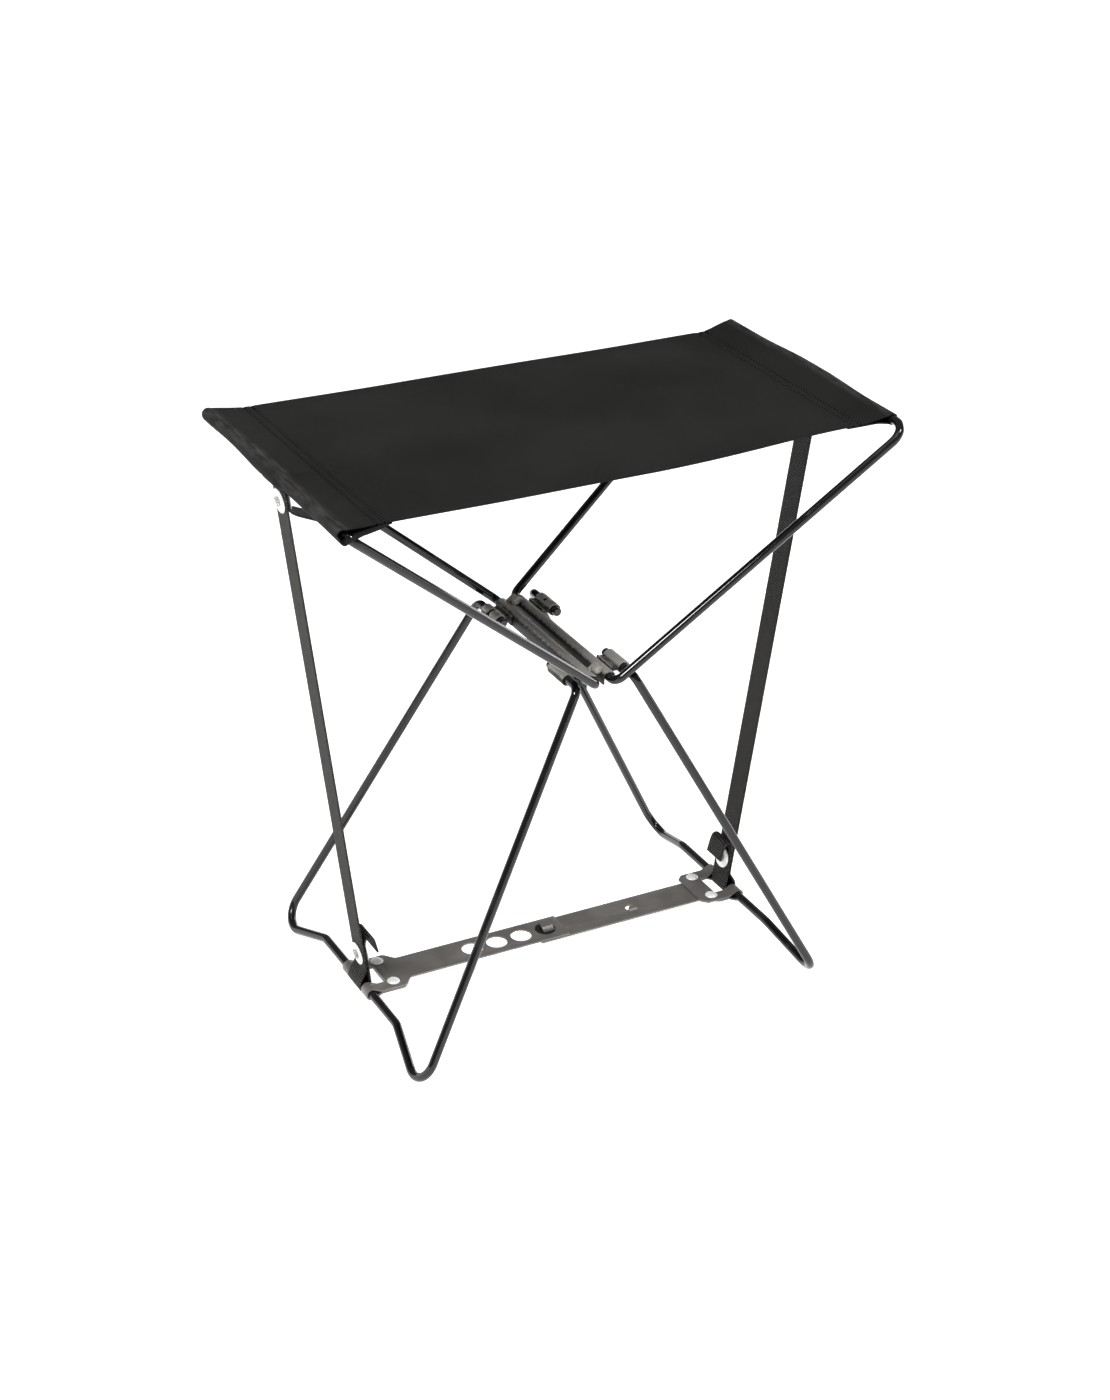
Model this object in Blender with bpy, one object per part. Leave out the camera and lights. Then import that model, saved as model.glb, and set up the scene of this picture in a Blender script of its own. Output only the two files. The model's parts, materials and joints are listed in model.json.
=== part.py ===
"""Folding camp stool: two seat loops and two leg loops of bent wire round a pressed-steel hub, a
woven seat between the seat rails, a webbing strap on each side and a hooked link between the
bottom rails.

Metres, +Z up. The origin is on the floor under the middle of the seat. X runs across the stool
from the left rails to the right rails, and Y runs from the front to the back.
"""

from math import acos, atan2, cos, hypot, pi, radians, sin, tan

import bmesh
import bpy
from mathutils import Matrix, Vector

# Wire and its places. Corner points are where straight runs of wire would meet without a bend.
WIRE_R = 0.003
GAP = 0.0003
SEAT_RAIL_X = 0.1956
SEAT_CORNER_Y = 0.1055
SEAT_RISE = 0.4000
SEAT_HUB_X = 0.0065
SEAT_HUB_Y = 0.0726
SEAT_HUB_RISE = 0.2457
SEAT_WIRE_END_Y = 0.0300
FOOT_X = 0.1542
FOOT_Y = 0.1162
LEG_PIVOT_X = 0.0205
LEG_HUB_Y = 0.0715
LEG_PIVOT_RISE = 0.2470
LEG_WIRE_END_Y = 0.0330
BOTTOM_RAIL_SHARE = 0.0773
BOTTOM_RAIL_CORNER_Y = 0.0584

# Bend radii, to the middle of the wire.
SEAT_BEND_R = 0.012
HUB_BEND_R = 0.007
FOOT_BEND_R = 0.014
RAIL_BEND_R = 0.016
WIRE_SIDES_RESOLUTION = 3
BEND_STEP = pi / 10

# Hub.
BAR_SHEET = 0.0012
BAR_BORE_R = WIRE_R + GAP
BAR_R = BAR_BORE_R + BAR_SHEET
BAR_SKIRT = 0.0048
BAR_HALF_LENGTH = 0.064
HINGE_RISE = 0.2505
EAR_R = 0.0032
EAR_THICKNESS = 0.0022
EAR_Y = 0.0575
PIN_R = 0.0015
PIN_HEAD_R = 0.0028
PIN_HEAD_THICKNESS = 0.0012
CLIP_Y = (0.0380, 0.0580)
CLIP_WEB = 0.0024
CLIP_TAB_DROP = 0.0050
CLIP_TAB_RISE = 0.0020

# Link strips.
SHEET = 0.0012
LAYER_OFFSET = 0.00075
STRIP_HALF_WIDTH = 0.0125
PLATE_HALF_WIDTH = 0.0200
PLATE_REACH = 0.0285
PLATE_CHAMFER = 0.0040
TAPER_LEFT = (0.0245, 0.0330)
TAPER_RIGHT = (0.0130, 0.0270)
WINDOW_HALF_WIDTH = 0.0108
WINDOW_REACH = 0.0140
PLATE_START = 0.0070
ROLL_NECK = 0.0075
ROLL_ROOT = 0.0100
STRIP_OVERLAP = 0.0110
HOLE_R = 0.0075
HOLE_PITCH = 0.0190
FIRST_HOLE_X = -0.0022
HOLE_COUNT = 4
LINK_RIVET_REACH = 0.0185
LINK_RIVET_Y = 0.0135
LINK_RIVET_R = 0.0022
LINK_RIVET_HEAD_R = 0.0045
LINK_RIVET_HEAD = 0.0020
LINK_RIVET_FOOT_R = 0.0036
LINK_RIVET_FOOT = 0.0012
HOOK_X = 0.0006
HOOK_Y = 0.0010
HOOK_NECK_R = 0.0040
HOOK_HEAD_R = 0.0068
HOOK_HEAD = 0.0014
TAB_HOLE_X = 0.0666
TAB_HOLE_R = 0.0040

# Seat.
FABRIC = 0.0012
SLEEVE_BORE_R = WIRE_R + GAP
SLEEVE_R = SLEEVE_BORE_R + FABRIC
SEAM_X = 0.1660
SEAM_WIDTH = 0.0050
SLEEVE_HALF_WIDTH = 0.0905
PANEL_FRONT_Y = -0.0990
PANEL_REAR_Y = 0.1070

# Straps.
WEBBING = 0.0013
STRAP_HALF_WIDTH = 0.0095
STRAP_INSET = 0.0026
STRAP_TOP = 0.0080
STRAP_BOTTOM = 0.0080
STRAP_RIVET_TOP = 0.0200
STRAP_RIVET_BOTTOM = 0.0220
STRAP_RIVET_R = 0.0022
STRAP_RIVET_HEAD_R = 0.0036
STRAP_RIVET_HEAD = 0.0010
WASHER_R = 0.0080
WASHER_BORE_R = 0.0026
WASHER = 0.0010

# Steps of round shapes, and how far over a domed head its crown is left flat.
ROUND = 20
HALF_ROUND_STEPS = 8
EYE_STEPS = 10
SLEEVE_STEPS = 12
ROLL_STEPS = 14
TAPER_STEPS = 8
DOME_STEPS = 3
DOME_ANGLE = radians(70)
SHARP_ANGLE = pi / 5
# Pieces joined by a Boolean union end this far inside each other's faces.
TOOL_INSET = 0.00002
SIDES = {"left": -1, "right": 1}
ENDS = {"front": -1, "rear": 1}


# ---------------------------------------------------------------- plain geometry


def bend(before, corner, after, radius):
    """Points of the round bend that replaces a sharp corner."""
    into = (before - corner).normalized()
    out = (after - corner).normalized()
    half = into.angle(out) / 2
    reach = radius / tan(half)
    centre = corner + (into + out).normalized() * (radius / sin(half))
    start = corner + into * reach - centre
    end = corner + out * reach - centre
    turn = pi - 2 * half
    steps = max(2, round(turn / BEND_STEP))
    points = []
    for step in range(steps + 1):
        share = step / steps
        points.append(
            centre + (start * sin((1 - share) * turn) + end * sin(share * turn)) / sin(turn)
        )
    return points


def rounded(corners, radii):
    """An open path through corners, with a bend of the given radius at each inner one."""
    points = [corners[0]]
    for index in range(1, len(corners) - 1):
        points += bend(corners[index - 1], corners[index], corners[index + 1], radii[index - 1])
    return points + [corners[-1]]


def mirrored_in_y(points):
    return [Vector((p.x, -p.y, p.z)) for p in points]


def leg_corners(side):
    """The rear half of a leg loop, from the wire's end in the hub to the middle of the rail."""
    foot = Vector((side * FOOT_X, FOOT_Y, 0))
    hub = Vector((side * LEG_PIVOT_X, LEG_HUB_Y, LEG_PIVOT_RISE))
    rail_x = FOOT_X + (LEG_PIVOT_X - FOOT_X) * BOTTOM_RAIL_SHARE
    rail = Vector((side * rail_x, BOTTOM_RAIL_CORNER_Y, LEG_PIVOT_RISE * BOTTOM_RAIL_SHARE))
    return [
        Vector((hub.x, LEG_WIRE_END_Y, hub.z)),
        hub,
        foot,
        rail,
        Vector((rail.x, 0, rail.z)),
    ]


def leg_path(side):
    return rounded(leg_corners(side), (HUB_BEND_R, FOOT_BEND_R, RAIL_BEND_R))


# The feet are bends, so the floor lies a little above the sharp corners.
FLOOR = min(point.z for point in leg_path(1)) - WIRE_R
SEAT_RAIL_Z = SEAT_RISE - FLOOR
SEAT_HUB_Z = SEAT_HUB_RISE - FLOOR
HINGE_Z = HINGE_RISE - FLOOR
LEG_PIVOT_Z = LEG_PIVOT_RISE - FLOOR
BOTTOM_RAIL_X = FOOT_X + (LEG_PIVOT_X - FOOT_X) * BOTTOM_RAIL_SHARE
BOTTOM_RAIL_Z = LEG_PIVOT_RISE * BOTTOM_RAIL_SHARE - FLOOR


# ---------------------------------------------------------------- scene helpers


def clear_scene():
    for obj in list(bpy.data.objects):
        bpy.data.objects.remove(obj, do_unlink=True)


def material(name, colour, roughness, metallic):
    made = bpy.data.materials.new(name)
    made.use_nodes = True
    shader = made.node_tree.nodes["Principled BSDF"]
    shader.inputs["Base Color"].default_value = (*colour, 1)
    shader.inputs["Roughness"].default_value = roughness
    shader.inputs["Metallic"].default_value = metallic
    made.diffuse_color = (*colour, 1)
    return made


def body_empty(name, location, parent=None):
    """An empty on a joint's axis, which a moving body's pieces hang from."""
    empty = bpy.data.objects.new(name, None)
    bpy.context.collection.objects.link(empty)
    empty.matrix_world = Matrix.Translation(location)
    if parent:
        place_under(empty, parent)
    return empty


def place_under(obj, parent):
    bpy.context.view_layer.update()
    world = obj.matrix_world.copy()
    obj.parent = parent
    obj.matrix_parent_inverse = parent.matrix_world.inverted()
    obj.matrix_world = world


def finish_mesh(name, mesh_builder, finish, parent):
    """Turns a bmesh into a named object under its body."""
    bmesh.ops.recalc_face_normals(mesh_builder, faces=mesh_builder.faces)
    mesh = bpy.data.meshes.new(name)
    mesh_builder.to_mesh(mesh)
    mesh_builder.free()
    mesh.shade_smooth()
    mesh.set_sharp_from_angle(angle=SHARP_ANGLE)
    obj = bpy.data.objects.new(name, mesh)
    bpy.context.collection.objects.link(obj)
    if finish:
        mesh.materials.append(finish)
    if parent:
        place_under(obj, parent)
    return obj


def add_prism(builder, outline, direction, start, end):
    """Adds an outline of 3-D points, pushed from start to end along a direction."""
    first = [builder.verts.new(point + direction * start) for point in outline]
    last = [builder.verts.new(point + direction * end) for point in outline]
    builder.faces.new(first)
    builder.faces.new(reversed(last))
    for index in range(len(outline)):
        after = (index + 1) % len(outline)
        builder.faces.new((first[index], last[index], last[after], first[after]))


def prism(name, outline, direction, start, end, finish=None, parent=None):
    builder = bmesh.new()
    add_prism(builder, outline, direction, start, end)
    return finish_mesh(name, builder, finish, parent)


def turned(name, origin, axis, profile, finish=None, parent=None):
    """A round piece: (height, radius) pairs from one end of the axis to the other."""
    builder = bmesh.new()
    turn = axis.normalized().to_track_quat("Z", "X").to_matrix().to_4x4()
    rings = []
    for height, radius in profile:
        ring = []
        for index in range(ROUND):
            angle = 2 * pi * index / ROUND
            local = Vector((radius * cos(angle), radius * sin(angle), height))
            ring.append(builder.verts.new(origin + (turn @ local)))
        rings.append(ring)
    for low, high in zip(rings, rings[1:]):
        for index in range(ROUND):
            after = (index + 1) % ROUND
            builder.faces.new((low[index], low[after], high[after], high[index]))
    builder.faces.new(reversed(rings[0]))
    builder.faces.new(rings[-1])
    return finish_mesh(name, builder, finish, parent)


def head(face, thickness, radius):
    """(height, radius) pairs of a domed head on a face, from its rim out to its crown."""
    pairs = []
    for step in range(DOME_STEPS + 1):
        angle = DOME_ANGLE * step / DOME_STEPS
        pairs.append((face + thickness * sin(angle) / sin(DOME_ANGLE), radius * cos(angle)))
    return pairs


def ring_piece(name, origin, axis, inner, outer, start, end, finish, parent):
    """A flat washer from start to end along its axis."""
    builder = bmesh.new()
    turn = axis.normalized().to_track_quat("Z", "X").to_matrix().to_4x4()
    loops = []
    for height, radius in ((start, inner), (start, outer), (end, outer), (end, inner)):
        loop = []
        for index in range(ROUND):
            angle = 2 * pi * index / ROUND
            local = Vector((radius * cos(angle), radius * sin(angle), height))
            loop.append(builder.verts.new(origin + (turn @ local)))
        loops.append(loop)
    for index, loop in enumerate(loops):
        following = loops[(index + 1) % len(loops)]
        for side in range(ROUND):
            after = (side + 1) % ROUND
            builder.faces.new((loop[side], loop[after], following[after], following[side]))
    return finish_mesh(name, builder, finish, parent)


def boolean(obj, other, operation):
    modifier = obj.modifiers.new(operation.title(), "BOOLEAN")
    modifier.operation = operation
    modifier.solver = "EXACT"
    modifier.object = other
    other.hide_render = True
    other.display_type = "WIRE"


def wire(name, points, finish, parent):
    """A round wire along a path, with flat ends."""
    curve = bpy.data.curves.new(name, "CURVE")
    curve.dimensions = "3D"
    curve.bevel_depth = WIRE_R
    curve.bevel_resolution = WIRE_SIDES_RESOLUTION
    curve.use_fill_caps = True
    spline = curve.splines.new("POLY")
    spline.points.add(len(points) - 1)
    for slot, point in zip(spline.points, points):
        slot.co = (*point, 1)
    curve.materials.append(finish)
    obj = bpy.data.objects.new(name, curve)
    bpy.context.collection.objects.link(obj)
    place_under(obj, parent)
    return obj


def arc(centre_a, centre_b, radius, start, end, steps):
    """Flat (a, b) points along an arc, ends included."""
    return [
        (
            centre_a + radius * cos(start + (end - start) * step / steps),
            centre_b + radius * sin(start + (end - start) * step / steps),
        )
        for step in range(steps + 1)
    ]


def in_xz(points):
    return [Vector((x, 0, z)) for x, z in points]


def in_xy(points, z):
    return [Vector((x, y, z)) for x, y in points]


Y_AXIS = Vector((0, 1, 0))
Z_AXIS = Vector((0, 0, 1))


# ---------------------------------------------------------------- wire loops


def whole_loop(rear_half, height_shift):
    """A loop from its front wire end, round the rail, to its rear wire end."""
    rear = [point + Vector((0, 0, height_shift)) for point in rear_half[:-1]]
    return mirrored_in_y(rear) + rear[::-1]


def seat_frame(side_name, finish, parent):
    side = SIDES[side_name]
    hub = Vector((side * SEAT_HUB_X, SEAT_HUB_Y, SEAT_HUB_RISE))
    corner = Vector((side * SEAT_RAIL_X, SEAT_CORNER_Y, SEAT_RISE))
    corners = [
        Vector((hub.x, SEAT_WIRE_END_Y, hub.z)),
        hub,
        corner,
        Vector((corner.x, 0, corner.z)),
    ]
    path = rounded(corners, (HUB_BEND_R, SEAT_BEND_R))
    return wire(f"seat_frame_{side_name}", whole_loop(path, -FLOOR), finish, parent)


def leg_frame(side_name, finish, parent):
    path = leg_path(SIDES[side_name])
    return wire(f"leg_frame_{side_name}", whole_loop(path, -FLOOR), finish, parent)


# ---------------------------------------------------------------- hub


def bar_outline(side):
    """The channel's section: a half round over the wire, with two straight skirts."""
    x, z = side * SEAT_HUB_X, SEAT_HUB_Z
    outside = arc(x, z, BAR_R, 0, pi, HALF_ROUND_STEPS)
    inside = arc(x, z, BAR_BORE_R, pi, 0, HALF_ROUND_STEPS)
    bottom = z - BAR_SKIRT
    return in_xz(
        [(x + BAR_R, bottom)]
        + outside
        + [(x - BAR_R, bottom), (x - BAR_BORE_R, bottom)]
        + inside
        + [(x + BAR_BORE_R, bottom)]
    )


def ear_outline(side):
    """A hinge ear: a round eye on the hinge line with a straight root in the bar's crown."""
    x = side * SEAT_HUB_X
    root = atan2(SEAT_HUB_Z - HINGE_Z, x)
    eye = arc(0, HINGE_Z, EAR_R, root + pi / 2, root + 3 * pi / 2, EYE_STEPS)
    along = Vector((cos(root), sin(root)))
    across = Vector((-along.y, along.x)) * EAR_R
    reach = hypot(x, SEAT_HUB_Z - HINGE_Z) - BAR_R + BAR_SHEET / 2
    root_point = Vector((0, HINGE_Z)) + along * reach
    low, high = root_point - across, root_point + across
    return in_xz([(low.x, low.y), (high.x, high.y)] + eye)


def ear_places(side):
    """Where a bar's two ears start along Y. The left and right ears sit side by side."""
    offset = 0 if side < 0 else EAR_THICKNESS + GAP
    return (-EAR_Y - offset, EAR_Y - offset)


def hub_bar(side_name, finish, parent):
    side = SIDES[side_name]
    bar = prism(
        f"hub_bar_{side_name}",
        bar_outline(side),
        Y_AXIS,
        -BAR_HALF_LENGTH,
        BAR_HALF_LENGTH,
        finish,
        parent,
    )
    for number, start in enumerate(ear_places(side)):
        ear = prism(
            f"ear_tool_{side_name}_{number}", ear_outline(side), Y_AXIS, start, start + EAR_THICKNESS
        )
        boolean(bar, ear, "UNION")
    for number, y in enumerate(ear_places(side)):
        eye = turned(
            f"eye_tool_{side_name}_{number}",
            Vector((0, y - EAR_THICKNESS, HINGE_Z)),
            Y_AXIS,
            [(0, PIN_R + GAP), (3 * EAR_THICKNESS, PIN_R + GAP)],
        )
        boolean(bar, eye, "DIFFERENCE")
    return bar


def hub_pin(end_name, finish, parent):
    """A short headed pin through the two ears at one end of the hub."""
    middle = ENDS[end_name] * EAR_Y
    low = middle - EAR_THICKNESS - 2 * GAP
    high = middle + EAR_THICKNESS + GAP
    profile = head(low, -PIN_HEAD_THICKNESS, PIN_HEAD_R)[::-1]
    profile += [(low, PIN_R), (high, PIN_R)]
    profile += head(high, PIN_HEAD_THICKNESS, PIN_HEAD_R)
    return turned(f"hub_pin_{end_name}", Vector((0, 0, HINGE_Z)), Y_AXIS, profile, finish, parent)


def leg_clip(end_name, side_name, finish, parent):
    side, end = SIDES[side_name], ENDS[end_name]
    x, z = side * LEG_PIVOT_X, LEG_PIVOT_Z
    wall = side * (SEAT_HUB_X + BAR_R + GAP)
    start, stop = sorted((end * CLIP_Y[0], end * CLIP_Y[1]))
    clip = turned(
        f"leg_clip_{end_name}_{side_name}",
        Vector((x, start, z)),
        Y_AXIS,
        [(0, BAR_R), (stop - start, BAR_R)],
        finish,
        parent,
    )
    tab_x = wall + side * BAR_SHEET
    web_end = x - side * BAR_BORE_R
    low_web, high_web = z - CLIP_WEB / 2, z + CLIP_WEB / 2
    web = prism(
        f"web_tool_{end_name}_{side_name}",
        in_xz(
            [
                (wall, z - CLIP_TAB_DROP),
                (tab_x, z - CLIP_TAB_DROP),
                (tab_x, low_web),
                (web_end, low_web),
                (web_end, high_web),
                (tab_x, high_web),
                (tab_x, z + CLIP_TAB_RISE),
                (wall, z + CLIP_TAB_RISE),
            ]
        ),
        Y_AXIS,
        start,
        stop,
    )
    bore = turned(
        f"bore_tool_{end_name}_{side_name}",
        Vector((x, start - BAR_R, z)),
        Y_AXIS,
        [(0, BAR_BORE_R), (stop - start + 2 * BAR_R, BAR_BORE_R)],
    )
    boolean(clip, web, "UNION")
    boolean(clip, bore, "DIFFERENCE")
    return clip


# ---------------------------------------------------------------- link between the bottom rails


def thickened(line, half):
    """The closed outline of a sheet of even thickness along a flat open line."""
    one, other = [], []
    for index, point in enumerate(line):
        before = line[max(index - 1, 0)]
        after = line[min(index + 1, len(line) - 1)]
        along = Vector((after[0] - before[0], after[1] - before[1])).normalized()
        one.append((point[0] - along.y * half, point[1] + along.x * half))
        other.append((point[0] + along.y * half, point[1] - along.x * half))
    return one + other[::-1]


def from_rail(side, reach):
    """X at a distance from the bottom rail, measured towards the middle of the stool."""
    return side * (BOTTOM_RAIL_X - reach)


def roll_outline(side, over):
    """The section of a roll round the rail, which closes to a neck where its layers run flat."""
    radius = WIRE_R + GAP + SHEET / 2
    main, tail = over * LAYER_OFFSET, -over * LAYER_OFFSET
    tangent = atan2(LAYER_OFFSET, ROLL_NECK) + acos(radius / hypot(ROLL_NECK, LAYER_OFFSET))
    roll = arc(0, 0, radius, -over * tangent, -over * (2 * pi - tangent), ROLL_STEPS)
    line = [(ROLL_ROOT, tail), (ROLL_NECK, tail)] + roll + [(ROLL_NECK, main), (ROLL_ROOT, main)]
    outline = thickened(line, SHEET / 2 - TOOL_INSET)
    return in_xz([(from_rail(side, reach), BOTTOM_RAIL_Z + z) for reach, z in outline])


def window_side(side):
    """The strip's rail side: two lands for the rolls and the strap's window between them."""
    return [
        (from_rail(side, PLATE_START), WINDOW_HALF_WIDTH),
        (from_rail(side, WINDOW_REACH), WINDOW_HALF_WIDTH),
        (from_rail(side, WINDOW_REACH), -WINDOW_HALF_WIDTH),
        (from_rail(side, PLATE_START), -WINDOW_HALF_WIDTH),
        (from_rail(side, PLATE_START), -PLATE_HALF_WIDTH),
    ]


def main_outline(side):
    """The layer that becomes the strip: it narrows from the plate in an easy curve.

    The right strip does so where the plate over it hides the curve.
    """
    start, stop = TAPER_LEFT if side < 0 else TAPER_RIGHT
    narrowing = []
    for step in range(TAPER_STEPS + 1):
        share = step / TAPER_STEPS
        ease = share * share * (3 - 2 * share)
        reach = start + (stop - start) * share
        half = PLATE_HALF_WIDTH + (STRIP_HALF_WIDTH - PLATE_HALF_WIDTH) * ease
        narrowing.append((from_rail(side, reach), half))
    tip = from_rail(side, BOTTOM_RAIL_X + STRIP_OVERLAP)
    low = [(x, -half) for x, half in narrowing]
    end = [(tip, -STRIP_HALF_WIDTH), (tip, STRIP_HALF_WIDTH)]
    land = [(from_rail(side, PLATE_START), PLATE_HALF_WIDTH)]
    return window_side(side) + low + end + narrowing[::-1] + land


def tail_outline(side):
    """The folded-back layer that the rivets clamp: a short plate with cut corners."""
    shoulder = from_rail(side, PLATE_REACH - PLATE_CHAMFER)
    edge = from_rail(side, PLATE_REACH)
    corner = PLATE_HALF_WIDTH - PLATE_CHAMFER
    return window_side(side) + [
        (shoulder, -PLATE_HALF_WIDTH),
        (edge, -corner),
        (edge, corner),
        (shoulder, PLATE_HALF_WIDTH),
        (from_rail(side, PLATE_START), PLATE_HALF_WIDTH),
    ]


def strip_holes(side_name):
    """(x, y, radius) of each hole through a strip."""
    side = SIDES[side_name]
    rivet_x = from_rail(side, LINK_RIVET_REACH)
    holes = [(rivet_x, end * LINK_RIVET_Y, LINK_RIVET_R + GAP) for end in ENDS.values()]
    if side_name == "left":
        return holes + [(FIRST_HOLE_X - n * HOLE_PITCH, 0, HOLE_R) for n in range(HOLE_COUNT)]
    return holes + [(HOOK_X, HOOK_Y, LINK_RIVET_R + GAP), (TAB_HOLE_X, 0, TAB_HOLE_R)]


def link_strip(side_name, finish, parent):
    """One stamping. The left strip leaves the rail's roll on top, and the right one underneath."""
    side = SIDES[side_name]
    over = -side
    middle = BOTTOM_RAIL_Z
    strip = prism(
        f"link_strip_{side_name}",
        in_xy(main_outline(side), middle + over * LAYER_OFFSET),
        Z_AXIS,
        -SHEET / 2,
        SHEET / 2,
        finish,
        parent,
    )
    tail = prism(
        f"tail_tool_{side_name}",
        in_xy(tail_outline(side), middle - over * LAYER_OFFSET),
        Z_AXIS,
        -SHEET / 2,
        SHEET / 2,
    )
    pieces = bmesh.new()
    for end in ENDS.values():
        near, far = WINDOW_HALF_WIDTH + TOOL_INSET, PLATE_HALF_WIDTH - TOOL_INSET
        start, stop = sorted((end * near, end * far))
        add_prism(pieces, roll_outline(side, over), Y_AXIS, start, stop)
    rolls = finish_mesh(f"roll_tool_{side_name}", pieces, None, None)
    boolean(rolls, tail, "UNION")
    boolean(strip, rolls, "UNION")
    for number, (x, y, radius) in enumerate(strip_holes(side_name)):
        hole = turned(
            f"hole_tool_{side_name}_{number}",
            Vector((x, y, middle)),
            Z_AXIS,
            [(-4 * SHEET, radius), (4 * SHEET, radius)],
        )
        boolean(strip, hole, "DIFFERENCE")
    return strip


def link_rivet(end_name, side_name, finish, parent):
    side = SIDES[side_name]
    place = Vector((from_rail(side, LINK_RIVET_REACH), ENDS[end_name] * LINK_RIVET_Y, BOTTOM_RAIL_Z))
    face = LAYER_OFFSET + SHEET / 2 + GAP
    profile = head(-face, -LINK_RIVET_FOOT, LINK_RIVET_FOOT_R)[::-1]
    profile += [(-face, LINK_RIVET_R), (face, LINK_RIVET_R)]
    profile += head(face, LINK_RIVET_HEAD, LINK_RIVET_HEAD_R)
    return turned(f"link_rivet_{end_name}_{side_name}", place, Z_AXIS, profile, finish, parent)


def link_hook(finish, parent):
    """The headed stud on the right strip. Its head laps over the edge of the left strip's hole."""
    face = LAYER_OFFSET + SHEET / 2 + GAP
    seat = LAYER_OFFSET - SHEET / 2
    profile = head(-face, -LINK_RIVET_FOOT, LINK_RIVET_FOOT_R)[::-1]
    profile += [(-face, LINK_RIVET_R), (seat, LINK_RIVET_R), (seat, HOOK_NECK_R), (face, HOOK_NECK_R)]
    profile += head(face, HOOK_HEAD, HOOK_HEAD_R)
    place = Vector((HOOK_X, HOOK_Y, BOTTOM_RAIL_Z))
    return turned("link_hook", place, Z_AXIS, profile, finish, parent)


# ---------------------------------------------------------------- seat


def seat_outline():
    """The panel's section with a teardrop sleeve at each end."""
    half = FABRIC / 2
    span = SEAT_RAIL_X - SEAM_X
    tangent = pi - atan2(half, span) - acos(SLEEVE_R / hypot(span, half))
    right = [(SEAM_X, half)]
    right += arc(SEAT_RAIL_X, 0, SLEEVE_R, tangent, -tangent, SLEEVE_STEPS)
    right += [(SEAM_X, -half)]
    left = [(-x, -z) for x, z in right]
    return in_xz([(x, SEAT_RAIL_Z + z) for x, z in right + left])


def tunnel_outline(side):
    span = SEAT_RAIL_X - SEAM_X - SEAM_WIDTH
    tangent = pi - acos(SLEEVE_BORE_R / span)
    points = [(SEAM_X + SEAM_WIDTH, 0)]
    points += arc(SEAT_RAIL_X, 0, SLEEVE_BORE_R, tangent, -tangent, SLEEVE_STEPS)
    return in_xz([(side * x, SEAT_RAIL_Z + z) for x, z in points])


def seat_fabric(finish, parent):
    seat = prism(
        "seat_fabric", seat_outline(), Y_AXIS, -SLEEVE_HALF_WIDTH, SLEEVE_HALF_WIDTH, finish, parent
    )
    thin = FABRIC / 2 - TOOL_INSET
    edge = SEAM_X - TOOL_INSET
    panel_section = [(-edge, -thin), (edge, -thin), (edge, thin), (-edge, thin)]
    panel = prism(
        "panel_tool",
        in_xz([(x, SEAT_RAIL_Z + z) for x, z in panel_section]),
        Y_AXIS,
        PANEL_FRONT_Y,
        PANEL_REAR_Y,
    )
    boolean(seat, panel, "UNION")
    for side_name, side in SIDES.items():
        past_ends = 2 * SLEEVE_HALF_WIDTH
        name = f"tunnel_tool_{side_name}"
        tunnel = prism(name, tunnel_outline(side), Y_AXIS, -past_ends, past_ends)
        boolean(seat, tunnel, "DIFFERENCE")
    return seat


# ---------------------------------------------------------------- straps


def strap_frame(side):
    """The strap's line: its point beside the seat rail, the way down, the way out, its length."""
    top = Vector((side * SEAT_RAIL_X, 0, SEAT_RAIL_Z))
    bottom = Vector((side * BOTTOM_RAIL_X, 0, BOTTOM_RAIL_Z))
    down = (bottom - top).normalized()
    outward = Vector((side, 0, 0))
    outward = (outward - down * outward.dot(down)).normalized()
    return top - outward * STRAP_INSET, down, outward, (bottom - top).length


def strap_rivet_places(side):
    top, down, outward, length = strap_frame(side)
    places = {"top": STRAP_RIVET_TOP, "bottom": length - STRAP_RIVET_BOTTOM}
    return {name: (top + down * along, outward) for name, along in places.items()}


def strap(side_name, finish, parent):
    side = SIDES[side_name]
    top, down, outward, length = strap_frame(side)
    half = outward * (WEBBING / 2)
    high, low = top + down * STRAP_TOP, top + down * (length - STRAP_BOTTOM)
    outline = [high + half, high - half, low - half, low + half]
    webbing = prism(
        f"strap_{side_name}", outline, Y_AXIS, -STRAP_HALF_WIDTH, STRAP_HALF_WIDTH, finish, parent
    )
    for name, (place, axis) in strap_rivet_places(side).items():
        hole = turned(
            f"strap_hole_tool_{name}_{side_name}",
            place,
            axis,
            [(-2 * WEBBING, WASHER_BORE_R), (2 * WEBBING, WASHER_BORE_R)],
        )
        boolean(webbing, hole, "DIFFERENCE")
    return webbing


def strap_fasteners(level, side_name, finish, parent):
    """A rivet and two washers that clamp the webbing and its turned-back tail."""
    place, outward = strap_rivet_places(SIDES[side_name])[level]
    outer = WEBBING / 2 + GAP
    inner = -(3 * WEBBING / 2 + 2 * GAP)
    outer_head, inner_head = outer + WASHER + GAP, inner - WASHER - GAP
    for name, start in (("outer", outer), ("inner", inner - WASHER)):
        ring_piece(
            f"strap_washer_{name}_{level}_{side_name}",
            place,
            outward,
            WASHER_BORE_R,
            WASHER_R,
            start,
            start + WASHER,
            finish,
            parent,
        )
    profile = head(inner_head, -STRAP_RIVET_HEAD, STRAP_RIVET_HEAD_R)[::-1]
    profile += [(inner_head, STRAP_RIVET_R), (outer_head, STRAP_RIVET_R)]
    profile += head(outer_head, STRAP_RIVET_HEAD, STRAP_RIVET_HEAD_R)
    turned(f"strap_rivet_{level}_{side_name}", place, outward, profile, finish, parent)


# ---------------------------------------------------------------- assembly


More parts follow.
